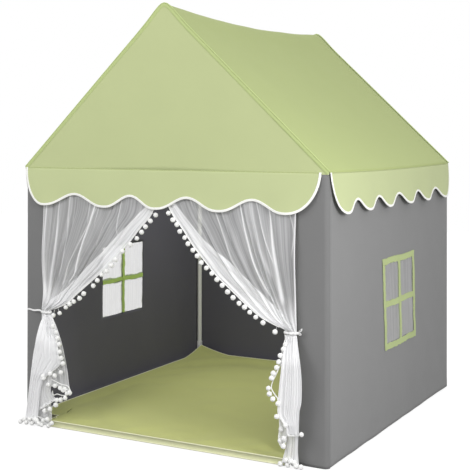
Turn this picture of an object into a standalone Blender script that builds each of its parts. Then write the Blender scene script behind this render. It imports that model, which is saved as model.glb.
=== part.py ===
"""A kids' play tent: white plastic tubes in push-fit joints, a cloth cover with a gable roof and
scalloped valances, two tied curtains with pom-poms, and a padded mat.

Metres, +Z up. The doorway faces -Y. The origin is on the floor, under the middle of the frame.
"""

import math

import bmesh
import bpy
from mathutils import Matrix, Quaternion, Vector

# The tent as a whole
TENT_WIDTH = 1.12
TENT_DEPTH = 1.16
RIDGE_HEIGHT = 1.40
EAVE_HEIGHT = 0.88
EAVE_OVERHANG = 0.002
HEM_SPLAY = 0.013

# Cloth, and how it hangs between its seams
CLOTH = 0.0015
SEAM_GAP = 0.0003
EAVE_SAG = 0.005
RIDGE_SAG = 0.023
SLOPE_HOLLOW = 0.007
ROOF_COLUMNS = 8
ROOF_ROWS = 6
ROOF_SMOOTHING = math.radians(30)
PIPING_RADIUS = 0.0025
PIPING_SIDES = 8
PIPING_SMOOTHING = math.radians(50)

# Tubes and their push-fit joints
TUBE_RADIUS = 0.0095
TUBE_SIDES = 12
TUBE_SMOOTHING = math.radians(40)
JOINT_RADIUS = 0.0125
JOINT_REACH = 0.062
HUB_SHARE = 0.5
SLEEVE_STEP = 0.0002
SOCKET_START = 0.031
SOCKET_CLEARANCE = 0.0005
TUBE_END_GAP = 0.0010
JOINT_TO_WALL = 0.0005
JOINT_TO_ROOF = 0.0030
CUT_OVERRUN = 0.002

# Doorway and windows
DOOR_WIDTH = 0.91
STRIP_OVER_DOOR = 0.08
DOOR_HEIGHT = EAVE_HEIGHT - STRIP_OVER_DOOR
WINDOW_SIZE = 0.27
WINDOW_CENTRE_HEIGHT = 0.425
RIGHT_WINDOW_BACKSET = 0.0285
RIGHT_WINDOW_LEAN = math.radians(4.4)
WINDOW_CLOTH = 0.0008
TRIM_WIDTH = 0.021
TRIM_THICKNESS = 0.0010

# Valances, their white binding, and the fold they hang from
FLARE = math.radians(8.0)
VALANCE_LOW = 0.129
VALANCE_PEAK = 0.091
BINDING_WIDTH = 0.0065
BINDING_THICKNESS = 0.0024
FOLD_OUTSET = 0.0015
GABLE_VALANCE_END_GAP = 0.012
GABLE_VALANCE_SHIFT = -0.009
SIDE_VALANCE_END_GAP = 0.006
SCALLOP_SHARPNESS = 1.25
SCALLOP_STEPS = 8
END_STEPS = 6
GABLE_LOW_SHARES = (-0.845, -0.394, -0.035, 0.383, 0.803)
SIDE_LOW_SHARES = (-0.836, -0.505, -0.200, 0.157, 0.488, 0.854)

# Curtains: the drapes above the tiebacks
DRAPE_TOP_DROP = 0.030
DRAPE_TOP = EAVE_HEIGHT - DRAPE_TOP_DROP
LEFT_WAIST_HEIGHT = 0.398
RIGHT_WAIST_HEIGHT = 0.410
NECK_HEIGHT = 0.014
LEFT_WAIST_X = -0.464
RIGHT_WAIST_X = 0.452
WAIST_WIDTH = 0.040
WAIST_BUNCH = 0.018
LEFT_DRAPE_EDGE = 0.485
RIGHT_DRAPE_EDGE = 0.456
DRAPE_OUTSET = 0.0026
DRAPE_OUTSET_SHARE = 0.6
WAIST_OUTSET = 0.0235
DRAPE_CLOTH = 0.0012
DRAPE_FOLD_DEPTH = 0.0045
DRAPE_FOLDS = 6
DRAPE_NARROWING = 3
DRAPE_GATHERING = 6
NECK_ROW = 2
CURTAIN_SMOOTHING = math.radians(60)
SAMPLES_PER_FOLD = 4
TOP_FOLD_SHARE = 0.2
FULL_FOLD_SHARE = 0.3
NECK_FOLD_SHARE = 0.35
NECK_FOLD_FADE = 4
EDGE_FALL_SHARES = (0, 0.133, 0.252, 0.354, 0.465, 0.564, 0.664, 0.763, 0.863, 0.94, 1)
LEFT_EDGE_SHARES = (0.066, 0.075, 0.101, 0.196, 0.297, 0.407, 0.508, 0.631, 0.756, 0.848, 0.976)
RIGHT_EDGE_SHARES = (-0.026, 0.009, 0.075, 0.165, 0.253, 0.345, 0.437, 0.558, 0.681, 0.798, 0.950)

# Curtains: the tails below the tiebacks
TAIL_GAP = 0.0004
TAIL_LEAN = 0.0365
TAIL_LEAN_SHARE = 0.36
TAIL_FOLD_DEPTH = 0.006
TAIL_FOLDS = 4
TAIL_OPEN_SHARE = 0.55
LEFT_HEM_CLEARANCE = 0.006
RIGHT_HEM_CLEARANCE = 0.024
TAIL_FALL_SHARES = (0, 0.1, 0.22, 0.36, 0.48, 0.6, 0.8, 1)
LEFT_OUTER_SHARES = (0.864, 0.866, 0.868, 0.870, 0.884, 0.902, 0.930, 0.957)
LEFT_INNER_SHARES = (0.793, 0.757, 0.716, 0.671, 0.648, 0.632, 0.620, 0.605)
RIGHT_OUTER_SHARES = (0.843, 0.845, 0.870, 0.905, 0.900, 0.890, 0.888, 0.891)
RIGHT_INNER_SHARES = (0.771, 0.757, 0.754, 0.771, 0.766, 0.768, 0.773, 0.785)
LEFT_HEM_LIFT = 0.125
LEFT_HEM_LIFT_SHARES = (0.15, 0.95)

# Tiebacks, bow and pom-pom trims
TIE_HEIGHT = 0.010
TIE_THICKNESS = 0.0020
TIE_CLEARANCE = 0.0005
TIE_SIDES = 20
TIE_CORD_RADIUS = 0.0014
TIE_CORD_SIDES = 6
TIE_CORD_INSET = 0.004
BOW_LENGTH = 0.020
BOW_HEIGHT = 0.011
BOW_TIP_RADIUS = 0.0030
BOW_OUT_SHARE = 0.8
BOW_RISE_SHARES = (0.55, -0.35)
BOW_SWELL_SHARES = ((0, 0.45), (0.35, 0.85), (0.75, 1), (1, 0.6))
POMPOM_RADIUS = 0.0075
POMPOM_PITCH = 0.0235
POMPOM_DROP = 0.0070
TAPE_RADIUS = 0.0016
TAPE_SIDES = 6
TAPE_GAP = 0.0003
TRIM_START_SHARE = 0.24
TRIM_END_SHARE = 0.965
TAIL_TRIM_START_SHARE = 0.16
HEM_TRIM_COLUMNS = 9
RIGHT_TRIM_LOOP = 0.030
TRIM_LOOP_SHARES = (0.3, 0.5)

# Mat
MAT_THICKNESS = 0.022
MAT_CROWN = 0.005
MAT_CROWN_FLATNESS = 4
MAT_SIDE_GAP = 0.010
MAT_TONGUE = 0.040
MAT_TONGUE_GAP = 0.004
MAT_TONGUE_SHARE = 0.96
MAT_CURL = 0.034
MAT_CURL_REACH = 0.15
MAT_CURL_STEEPNESS = 2
MAT_SMOOTHING = math.radians(50)
MAT_PIPING = 0.0025
MAT_DRAWN_IN = 0.004
MAT_ACROSS_SHARES = (-1, -0.93, -0.843, -0.808, -0.45, 0, 0.45, 0.808, 0.843, 0.93, 1)
MAT_ALONG_SHARES = (-1, -0.94, -0.82, -0.6, -0.3, 0, 0.3, 0.6, 0.82, 0.94, 1)

# Sizes that follow from the ones above
HALF_WIDTH = TENT_WIDTH / 2
HALF_DEPTH = TENT_DEPTH / 2
EAVE_HALF_WIDTH = HALF_WIDTH + EAVE_OVERHANG
ROOF_PITCH = math.atan2(RIDGE_HEIGHT - EAVE_HEIGHT, EAVE_HALF_WIDTH)
ROOF_CLOTH_DROP = CLOTH / math.cos(ROOF_PITCH)
WALL_TOP = EAVE_HEIGHT - ROOF_CLOTH_DROP - EAVE_SAG
POST_X = HALF_WIDTH - CLOTH - JOINT_TO_WALL - JOINT_RADIUS
POST_Y = HALF_DEPTH - CLOTH - JOINT_TO_WALL - JOINT_RADIUS
RAFTER_INSET = (CLOTH + JOINT_TO_ROOF + JOINT_RADIUS) / math.cos(ROOF_PITCH)
APEX_Z = RIDGE_HEIGHT - RAFTER_INSET
CORNER_Z = APEX_Z - POST_X * math.tan(ROOF_PITCH)
FOOT_Z = JOINT_RADIUS
SLOPE_HALF_DEPTH = HALF_DEPTH - CLOTH - SEAM_GAP
GABLE_VALANCE_SPAN = TENT_WIDTH - 2 * GABLE_VALANCE_END_GAP
SIDE_VALANCE_SPAN = TENT_DEPTH - 2 * SIDE_VALANCE_END_GAP
DOOR_HALF = DOOR_WIDTH / 2
WAIST_Y = -HALF_DEPTH - WAIST_OUTSET
MAT_HALF_WIDTH = POST_X + HEM_SPLAY - JOINT_RADIUS - MAT_SIDE_GAP
MAT_HALF_DEPTH = POST_Y + HEM_SPLAY - JOINT_RADIUS - MAT_SIDE_GAP


def linear(red, green, blue):
    """The scene-linear value of a colour picked as 0 to 255."""
    shades = [shade / 255 for shade in (red, green, blue)]
    return [s / 12.92 if s <= 0.04045 else ((s + 0.055) / 1.055) ** 2.4 for s in shades]


def make_material(name, colour, roughness, alpha=1.0):
    material = bpy.data.materials.new(name)
    material.use_nodes = True
    shader = material.node_tree.nodes["Principled BSDF"]
    shader.inputs["Base Color"].default_value = (*linear(*colour), 1.0)
    shader.inputs["Roughness"].default_value = roughness
    shader.inputs["Metallic"].default_value = 0.0
    shader.inputs["Alpha"].default_value = alpha
    material.diffuse_color = (*linear(*colour), alpha)
    return material


def add_object(name, mesh, material, smooth_angle=None):
    """Puts a mesh in the scene as its own object, with its own material."""
    mesh.name = name
    mesh.materials.append(material)
    if smooth_angle is not None:
        mesh.shade_smooth()
        mesh.set_sharp_from_angle(angle=smooth_angle)
    obj = bpy.data.objects.new(name, mesh)
    bpy.context.scene.collection.objects.link(obj)
    return obj


def mesh_of(name, points, faces):
    """A closed mesh from points and faces, with its faces turned outwards."""
    mesh = bpy.data.meshes.new(name)
    mesh.from_pydata([tuple(point) for point in points], [], faces)
    shape = bmesh.new()
    shape.from_mesh(mesh)
    bmesh.ops.recalc_face_normals(shape, faces=shape.faces)
    shape.to_mesh(mesh)
    shape.free()
    return mesh


def box_mesh(name, low, high):
    shape = bmesh.new()
    bmesh.ops.create_cube(shape, size=1.0)
    size = Vector(high) - Vector(low)
    bmesh.ops.scale(shape, vec=size, verts=shape.verts)
    bmesh.ops.translate(shape, vec=(Vector(low) + Vector(high)) / 2, verts=shape.verts)
    mesh = bpy.data.meshes.new(name)
    shape.to_mesh(mesh)
    shape.free()
    return mesh


def rod_mesh(name, start, end, radius, sides=TUBE_SIDES):
    """A round rod from start to end."""
    start, end = Vector(start), Vector(end)
    shape = bmesh.new()
    bmesh.ops.create_cone(
        shape,
        cap_ends=True,
        segments=sides,
        radius1=radius,
        radius2=radius,
        depth=(end - start).length,
    )
    turn = (end - start).to_track_quat("Z", "Y").to_matrix().to_4x4()
    bmesh.ops.transform(shape, matrix=Matrix.Translation((start + end) / 2) @ turn, verts=shape.verts)
    mesh = bpy.data.meshes.new(name)
    shape.to_mesh(mesh)
    shape.free()
    return mesh


def grid_solid(name, front, back):
    """A closed solid between two grids of points, each a list of rows."""
    rows, columns = len(front), len(front[0])
    points = [point for row in front for point in row] + [point for row in back for point in row]
    behind = rows * columns
    faces = []
    for row in range(rows - 1):
        for column in range(columns - 1):
            corner = row * columns + column
            face = (corner, corner + 1, corner + columns + 1, corner + columns)
            faces.append(face)
            faces.append(tuple(behind + index for index in reversed(face)))
    rim = [column for column in range(columns)]
    rim += [row * columns + columns - 1 for row in range(1, rows)]
    rim += [(rows - 1) * columns + column for column in range(columns - 2, -1, -1)]
    rim += [row * columns for row in range(rows - 2, 0, -1)]
    for here, there in zip(rim, rim[1:] + rim[:1]):
        faces.append((here, behind + here, behind + there, there))
    return mesh_of(name, points, faces)


def prism(name, outline, depth):
    """A closed solid: a flat outline and its copy moved by the vector depth."""
    count = len(outline)
    points = [Vector(point) for point in outline]
    points += [point + Vector(depth) for point in points]
    faces = [tuple(range(count)), tuple(range(2 * count - 1, count - 1, -1))]
    for here in range(count):
        there = (here + 1) % count
        faces.append((here, there, count + there, count + here))
    return mesh_of(name, points, faces)


def helper(name, mesh):
    """A shape that is only used by a Boolean."""
    obj = bpy.data.objects.new(name, mesh)
    bpy.context.scene.collection.objects.link(obj)
    obj.hide_render = True
    obj.display_type = "WIRE"
    return obj


def combine(obj, operation, other):
    modifier = obj.modifiers.new(f"{operation.lower()} {other.name}", "BOOLEAN")
    modifier.operation = operation
    modifier.solver = "EXACT"
    modifier.object = other


def smooth_step(low, high, value):
    share = min(max((value - low) / (high - low), 0.0), 1.0)
    return share * share * (3 - 2 * share)


def mix(first, second, share):
    return first + (second - first) * share


def read_table(places, values, place):
    """The value at a place, on the straight lines between a table's entries."""
    last = len(places) - 2
    spot = min(sum(1 for entry in places[1:] if entry <= place), last)
    share = (place - places[spot]) / (places[spot + 1] - places[spot])
    return mix(values[spot], values[spot + 1], share)


def splayed(point):
    """A point of the upright box, moved to where the walls lean out towards the floor."""
    lean = 1 + HEM_SPLAY / HALF_WIDTH * (1 - point[2] / EAVE_HEIGHT)
    return Vector((point[0] * lean, point[1] * lean, point[2]))


def splay(mesh):
    for vertex in mesh.vertices:
        vertex.co = splayed(vertex.co)
    return mesh


# Frame: tubes


def unit(vector):
    return Vector(vector).normalized()


def corner_point(side, end):
    return Vector((side * POST_X, end * POST_Y, CORNER_Z))


def foot_point(side, end):
    return splayed((side * POST_X, end * POST_Y, FOOT_Z))


def apex_point(end):
    return Vector((0, end * POST_Y, APEX_Z))


def make_tube(name, start, end, material):
    """A tube between two joint centres, stopping short of the bottom of each socket."""
    along = unit(end - start) * (SOCKET_START + TUBE_END_GAP)
    mesh = rod_mesh(name, start + along, end - along, TUBE_RADIUS)
    return add_object(name, mesh, material, TUBE_SMOOTHING)


def make_tubes(material):
    sides = (("left", -1), ("right", 1))
    ends = (("front", -1), ("back", 1))
    for end_name, end in ends:
        make_tube(f"eave_rail_{end_name}", corner_point(-1, end), corner_point(1, end), material)
        for side_name, side in sides:
            corner = corner_point(side, end)
            make_tube(f"post_{end_name}_{side_name}", foot_point(side, end), corner, material)
            make_tube(f"rafter_{end_name}_{side_name}", corner, apex_point(end), material)
    for side_name, side in sides:
        make_tube(f"eave_rail_{side_name}", corner_point(side, -1), corner_point(side, 1), material)
        make_tube(f"floor_rail_{side_name}", foot_point(side, -1), foot_point(side, 1), material)
    make_tube("floor_rail_back", foot_point(-1, 1), foot_point(1, 1), material)


# Frame: push-fit joints


def make_joint(name, centre, targets, material):
    """A hub with one bored sleeve towards each target point, each a little slimmer than the last."""
    directions = [unit(Vector(target) - centre) for target in targets]
    sleeves = []
    for number, direction in enumerate(directions):
        start, end = centre - direction * JOINT_RADIUS * HUB_SHARE, centre + direction * JOINT_REACH
        sleeves.append(rod_mesh(name, start, end, JOINT_RADIUS - number * SLEEVE_STEP))
    joint = add_object(name, sleeves[0], material, TUBE_SMOOTHING)
    for number, sleeve in enumerate(sleeves[1:], start=1):
        combine(joint, "UNION", helper(f"{name}_sleeve_{number}", sleeve))
    for number, direction in enumerate(directions):
        start = centre + direction * SOCKET_START
        mouth = centre + direction * (JOINT_REACH + CUT_OVERRUN)
        bore = rod_mesh("bore", start, mouth, TUBE_RADIUS + SOCKET_CLEARANCE)
        combine(joint, "DIFFERENCE", helper(f"{name}_bore_{number}", bore))
    return joint


def make_foot_joint(name, centre, targets, material):
    """A joint with a flat foot that stands on the floor."""
    joint = make_joint(name, centre, targets, material)
    sole = rod_mesh("sole", (centre.x, centre.y, 0), centre, JOINT_RADIUS)
    combine(joint, "UNION", helper(f"{name}_sole", sole))
    return joint


def make_joints(material):
    for end_name, end in (("front", -1), ("back", 1)):
        apex = apex_point(end)
        make_joint(
            f"apex_joint_{end_name}", apex, [corner_point(-1, end), corner_point(1, end)], material
        )
        for side_name, side in (("left", -1), ("right", 1)):
            corner, foot = corner_point(side, end), foot_point(side, end)
            along_eaves = [corner_point(-side, end), corner_point(side, -end)]
            make_joint(
                f"corner_joint_{end_name}_{side_name}", corner, [foot, *along_eaves, apex], material
            )
            along_floor = [foot_point(side, -end)]
            if end_name == "back":
                along_floor.append(foot_point(-side, end))
            make_foot_joint(
                f"foot_joint_{end_name}_{side_name}", foot, [corner, *along_floor], material
            )


# Walls and windows


def wall_piece(name, side, near, far, low, high):
    """A flat piece on a side wall, between two distances from the middle. low and high are (y, z)."""
    inner, outer = sorted((side * near, side * far))
    return splay(box_mesh(name, (inner, *low), (outer, *high)))


def lean(mesh, angle):
    """Leans a window's upright edges within its wall."""
    for vertex in mesh.vertices:
        vertex.co.y += (WINDOW_CENTRE_HEIGHT - vertex.co.z) * math.tan(angle)
    return mesh


def window_piece(name, side, near, far, centre, size, angle):
    """A square piece of a window, with its centre as (y, z)."""
    low = (centre[0] - size / 2, centre[1] - size / 2)
    high = (centre[0] + size / 2, centre[1] + size / 2)
    return lean(wall_piece(name, side, near, far, low, high), angle)


def make_side_wall(name, side, window_y, angle, material):
    low, high = (-HALF_DEPTH, 0), (HALF_DEPTH, WALL_TOP)
    wall = add_object(name, wall_piece(name, side, HALF_WIDTH - CLOTH, HALF_WIDTH, low, high), material)
    near, far = HALF_WIDTH - CLOTH - CUT_OVERRUN, HALF_WIDTH + CUT_OVERRUN
    centre = (window_y, WINDOW_CENTRE_HEIGHT)
    hole = window_piece("hole", side, near, far, centre, WINDOW_SIZE, angle)
    combine(wall, "DIFFERENCE", helper(f"{name}_window_hole", hole))
    return wall


def make_window_pane(name, side, window_y, angle, material):
    """The sheer panel that fills the hole in the wall."""
    middle = HALF_WIDTH - CLOTH / 2
    near, far = middle - WINDOW_CLOTH / 2, middle + WINDOW_CLOTH / 2
    centre, size = (window_y, WINDOW_CENTRE_HEIGHT), WINDOW_SIZE - 2 * SEAM_GAP
    return add_object(name, window_piece(name, side, near, far, centre, size, angle), material)


def make_window_trim(name, side, window_y, angle, material):
    """The sewn tape round the window and across it."""
    near, far = HALF_WIDTH + SEAM_GAP, HALF_WIDTH + SEAM_GAP + TRIM_THICKNESS
    centre, size = (window_y, WINDOW_CENTRE_HEIGHT), WINDOW_SIZE + 2 * TRIM_WIDTH
    trim = add_object(name, window_piece(name, side, near, far, centre, size, angle), material)
    light = (WINDOW_SIZE - TRIM_WIDTH) / 2
    step = (TRIM_WIDTH + light) / 2
    for row in (-1, 1):
        for column in (-1, 1):
            centre = (window_y + column * step, WINDOW_CENTRE_HEIGHT + row * step)
            hole = window_piece("light", side, near - CUT_OVERRUN, far + CUT_OVERRUN, centre, light, angle)
            combine(trim, "DIFFERENCE", helper(f"{name}_light_{row}_{column}", hole))
    return trim


def make_front_wall(material):
    """One cloth panel with the doorway cut out of it."""
    half = HALF_WIDTH - CLOTH - SEAM_GAP
    outline = [
        (-half, -HALF_DEPTH, 0),
        (-DOOR_HALF, -HALF_DEPTH, 0),
        (-DOOR_HALF, -HALF_DEPTH, DOOR_HEIGHT),
        (DOOR_HALF, -HALF_DEPTH, DOOR_HEIGHT),
        (DOOR_HALF, -HALF_DEPTH, 0),
        (half, -HALF_DEPTH, 0),
        (half, -HALF_DEPTH, WALL_TOP),
        (-half, -HALF_DEPTH, WALL_TOP),
    ]
    return add_object("wall_front", splay(prism("wall_front", outline, (0, CLOTH, 0))), material)


def make_walls(wall_cloth, sheer, trim_cloth):
    windows = (("left", -1, 0, 0), ("right", 1, RIGHT_WINDOW_BACKSET, RIGHT_WINDOW_LEAN))
    for side_name, side, window_y, angle in windows:
        make_side_wall(f"wall_{side_name}", side, window_y, angle, wall_cloth)
        make_window_pane(f"window_pane_{side_name}", side, window_y, angle, sheer)
        make_window_trim(f"window_trim_{side_name}", side, window_y, angle, trim_cloth)
    make_front_wall(wall_cloth)
    half = HALF_WIDTH - CLOTH - SEAM_GAP
    low, high = (-half, HALF_DEPTH - CLOTH, 0), (half, HALF_DEPTH, WALL_TOP)
    add_object("wall_back", splay(box_mesh("wall_back", low, high)), wall_cloth)


# Roof cover


def roof_point(side, up, along):
    """A point of a slope's outer face. up goes from eave to ridge, along from front to back."""
    x = mix(EAVE_HALF_WIDTH, SEAM_GAP / 2, up)
    hang = 1 - along * along
    sag = mix(EAVE_SAG, RIDGE_SAG, up) + SLOPE_HOLLOW * 4 * up * (1 - up)
    z = RIDGE_HEIGHT - x * math.tan(ROOF_PITCH) - sag * hang
    return Vector((side * x, along * SLOPE_HALF_DEPTH, z))


def make_slope(name, side, material):
    outer = []
    for row in range(ROOF_ROWS + 1):
        ups = row / ROOF_ROWS
        outer.append(
            [roof_point(side, ups, 2 * step / ROOF_COLUMNS - 1) for step in range(ROOF_COLUMNS + 1)]
        )
    drop = Vector((0, 0, ROOF_CLOTH_DROP))
    inner = [[point - drop for point in row] for row in outer]
    return add_object(name, grid_solid(name, outer, inner), material, ROOF_SMOOTHING)


def make_gable(name, end, material):
    y = end * HALF_DEPTH
    base = WALL_TOP + SEAM_GAP
    outline = [
        (-HALF_WIDTH, y, base),
        (HALF_WIDTH, y, base),
        (EAVE_HALF_WIDTH, y, EAVE_HEIGHT),
        (0, y, RIDGE_HEIGHT),
        (-EAVE_HALF_WIDTH, y, EAVE_HEIGHT),
    ]
    return add_object(name, prism(name, outline, (0, -end * CLOTH, 0)), material)


def make_piping(name, end, material):
    """The piped seam that runs up one roof edge and down the other."""
    out = PIPING_RADIUS + SEAM_GAP
    y = end * (HALF_DEPTH - PIPING_RADIUS)
    up = Vector((0, 0, 1 / math.cos(ROOF_PITCH)))
    out_right = Vector((math.sin(ROOF_PITCH), 0, math.cos(ROOF_PITCH)))
    out_left = Vector((-out_right.x, 0, out_right.z))
    spots = (
        (Vector((-EAVE_HALF_WIDTH, y, EAVE_HEIGHT)), out_left),
        (Vector((0, y, RIDGE_HEIGHT)), up),
        (Vector((EAVE_HALF_WIDTH, y, EAVE_HEIGHT)), out_right),
    )
    rings = []
    for point, across in spots:
        ring = []
        for step in range(PIPING_SIDES):
            turn = 2 * math.pi * step / PIPING_SIDES
            offset = across * math.cos(turn) + Vector((0, 1, 0)) * math.sin(turn)
            ring.append(point + across * out + offset * PIPING_RADIUS)
        rings.append(ring)
    return add_object(name, tube_of_rings(name, rings), material, PIPING_SMOOTHING)


def tube_of_rings(name, rings):
    """A closed tube through rings of points."""
    sides = len(rings[0])
    points = [point for ring in rings for point in ring]
    faces = [tuple(range(sides)), tuple(len(points) - sides + step for step in range(sides))]
    for number in range(len(rings) - 1):
        for step in range(sides):
            here, there = number * sides + step, number * sides + (step + 1) % sides
            faces.append((here, there, there + sides, here + sides))
    return mesh_of(name, points, faces)


def make_roof(roof_cloth, piping_cloth):
    for side_name, side in (("left", -1), ("right", 1)):
        make_slope(f"roof_slope_{side_name}", side, roof_cloth)
    for end_name, end in (("front", -1), ("back", 1)):
        make_gable(f"gable_{end_name}", end, roof_cloth)
        make_piping(f"roof_piping_{end_name}", end, piping_cloth)


# Valances


def scallop_edge(half_span, low_shares):
    """The lower edge as (along, depth) points, from one end of the fold to the other."""
    lows = [share * half_span for share in low_shares]
    edge = []
    for step in range(END_STEPS):
        turn = math.pi / 2 * step / END_STEPS
        reach = half_span + lows[0]
        edge.append((lows[0] - reach * math.cos(turn), VALANCE_LOW * math.sin(turn)))
    for here, there in zip(lows, lows[1:]):
        for step in range(SCALLOP_STEPS):
            share = step / SCALLOP_STEPS
            rise = (math.sin(math.pi * share) ** 2) ** SCALLOP_SHARPNESS
            edge.append((mix(here, there, share), mix(VALANCE_LOW, VALANCE_PEAK, rise)))
    for step in range(END_STEPS + 1):
        turn = math.pi / 2 * step / END_STEPS
        reach = half_span - lows[-1]
        edge.append((lows[-1] + reach * math.sin(turn), VALANCE_LOW * math.cos(turn)))
    return edge


def inset_edge(edge, distance):
    """The same edge moved into the cloth by a distance."""
    moved = []
    for number, (along, depth) in enumerate(edge):
        before = edge[max(number - 1, 0)]
        after = edge[min(number + 1, len(edge) - 1)]
        run, fall = after[0] - before[0], after[1] - before[1]
        length = math.hypot(run, fall)
        moved.append((along + fall / length * distance, depth - run / length * distance))
    moved[0] = (edge[0][0] + distance, 0)
    moved[-1] = (edge[-1][0] - distance, 0)
    return moved


def flap_solid(name, upper, lower, thickness):
    """A thin solid between two lines of (along, depth) points, in the plane of a hanging flap."""
    down = Vector((0, -math.sin(FLARE), -math.cos(FLARE)))
    out = Vector((0, -math.cos(FLARE), math.sin(FLARE)))
    faces = []
    for face in (thickness / 2, -thickness / 2):
        rows = []
        for line in (upper, lower):
            rows.append([Vector((along, 0, 0)) + down * depth + out * face for along, depth in line])
        faces.append(rows)
    return grid_solid(name, *faces)


def make_valance(name, place, turn, span, low_shares, cloth, binding_cloth):
    """A flap and its binding, both with their origin on the fold line."""
    edge = scallop_edge(span / 2, low_shares)
    binding_inner = inset_edge(edge, BINDING_WIDTH)
    cloth_edge = inset_edge(edge, BINDING_WIDTH + SEAM_GAP)
    top = SEAM_GAP
    lower = [(along, max(depth, top + SEAM_GAP)) for along, depth in cloth_edge]
    upper = [(along, top) for along, depth in cloth_edge]
    flap = add_object(name, flap_solid(name, upper, lower, CLOTH), cloth)
    outer = [(along, max(depth, top)) for along, depth in edge]
    inner = [(along, max(depth, top)) for along, depth in binding_inner]
    name = f"{name}_binding"
    binding = add_object(name, flap_solid(name, inner, outer, BINDING_THICKNESS), binding_cloth)
    flap.location = place
    flap.rotation_euler = (0, 0, turn)
    binding.parent = flap
    return flap


def make_valances(cloth, binding_cloth):
    fold_y = HALF_DEPTH + FOLD_OUTSET
    fold_x = EAVE_HALF_WIDTH + FOLD_OUTSET
    mirrored_gable = tuple(-share for share in reversed(GABLE_LOW_SHARES))
    mirrored_side = tuple(-share for share in reversed(SIDE_LOW_SHARES))
    places = (
        ("front", (GABLE_VALANCE_SHIFT, -fold_y), 0, GABLE_VALANCE_SPAN, GABLE_LOW_SHARES),
        ("back", (GABLE_VALANCE_SHIFT, fold_y), math.pi, GABLE_VALANCE_SPAN, mirrored_gable),
        ("right", (fold_x, 0), math.pi / 2, SIDE_VALANCE_SPAN, SIDE_LOW_SHARES),
        ("left", (-fold_x, 0), -math.pi / 2, SIDE_VALANCE_SPAN, mirrored_side),
    )
    for side, (x, y), turn, span, shares in places:
        make_valance(f"valance_{side}", (x, y, EAVE_HEIGHT), turn, span, shares, cloth, binding_cloth)


# Curtains


class Curtain:
    """The outlines of one curtain. Across goes from its outer edge, 0, to its leading edge, 1."""

    def __init__(self, side):
        left = side == "left"
        self.side = side
        self.sign = -1 if left else 1
        self.waist_x = LEFT_WAIST_X if left else RIGHT_WAIST_X
        self.waist_z = LEFT_WAIST_HEIGHT if left else RIGHT_WAIST_HEIGHT
        self.neck_z = self.waist_z - NECK_HEIGHT
        self.drape_outer = LEFT_DRAPE_EDGE if left else RIGHT_DRAPE_EDGE
        self.edge_shares = LEFT_EDGE_SHARES if left else RIGHT_EDGE_SHARES
        self.outer_shares = LEFT_OUTER_SHARES if left else RIGHT_OUTER_SHARES
        self.inner_shares = LEFT_INNER_SHARES if left else RIGHT_INNER_SHARES
        self.hem_z = LEFT_HEM_CLEARANCE if left else RIGHT_HEM_CLEARANCE
        self.hem_lift = LEFT_HEM_LIFT if left else 0

    def leading_edge(self, fall):
        """(x, z) on the drape's front edge. fall goes from its top, 0, to its waist, 1."""
        x = self.sign * DOOR_HALF * read_table(EDGE_FALL_SHARES, self.edge_shares, fall)
        return Vector((x, mix(DRAPE_TOP, self.waist_z, fall)))

    def drape_y(self, fall):
        out = smooth_step(0, DRAPE_OUTSET_SHARE, fall)
        return mix(-HALF_DEPTH - DRAPE_OUTSET, WAIST_Y, out)

    def drape_fold(self, fall):
        opening = mix(TOP_FOLD_SHARE, 1, smooth_step(0, FULL_FOLD_SHARE, fall))
        fade = min(fall, 1) ** NECK_FOLD_FADE
        return DRAPE_FOLD_DEPTH * opening * mix(1, NECK_FOLD_SHARE, fade)

    def drape_bunch(self, fall):
        return min(fall, 1) ** DRAPE_GATHERING

    def drape_point(self, across, fall):
        waist_outer = self.waist_x + self.sign * WAIST_WIDTH / 2
        outer_x = mix(self.sign * self.drape_outer, waist_outer, fall**DRAPE_NARROWING)
        edge = self.leading_edge(fall)
        return Vector((mix(outer_x, edge.x, across), edge.y))

    def tail_point(self, across, fall):
        """(x, z) on the tail. fall goes from the waist, 0, to the hem, 1."""
        outer = read_table(TAIL_FALL_SHARES, self.outer_shares, fall)
        inner = read_table(TAIL_FALL_SHARES, self.inner_shares, fall)
        lift = self.hem_lift * smooth_step(*LEFT_HEM_LIFT_SHARES, across)
        x = self.sign * HALF_WIDTH * mix(outer, inner, across)
        return Vector((x, mix(self.neck_z - TAIL_GAP, self.hem_z + lift, fall)))

    def tail_y(self, fall):
        return WAIST_Y - TAIL_LEAN * smooth_step(0, TAIL_LEAN_SHARE, fall)

    def tail_fold(self, fall):
        top = DRAPE_FOLD_DEPTH * NECK_FOLD_SHARE
        return mix(top, TAIL_FOLD_DEPTH, smooth_step(0, TAIL_OPEN_SHARE, fall))

    def tail_bunch(self, fall):
        return 1 - smooth_step(0, TAIL_OPEN_SHARE, fall)


def folded_cloth(name, falls, folds, place, fold_depth, bunch):
    """A hanging cloth in folds. bunch goes from 0, spread out, to 1, gathered round the waist."""
    columns = folds * SAMPLES_PER_FOLD
    front, back = [], []
    for fall in falls:
        gathered = bunch(fall)
        front_row, back_row = [], []
        for column in range(columns + 1):
            across = column / columns
            x, y, z = place(across, fall)
            swell = math.sqrt(max(1 - (2 * across - 1) ** 2, 0))
            half = (DRAPE_CLOTH + WAIST_BUNCH * gathered * swell) / 2
            ripple = fold_depth(fall) * math.cos(2 * math.pi * folds * across)
            front_ripple = mix(ripple, ripple * swell, gathered)
            back_ripple = mix(ripple, -ripple * swell, gathered)
            front_row.append(Vector((x, y - half + front_ripple, z)))
            back_row.append(Vector((x, y + half + back_ripple, z)))
        front.append(front_row)
        back.append(back_row)
    return grid_solid(name, front, back)


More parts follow.
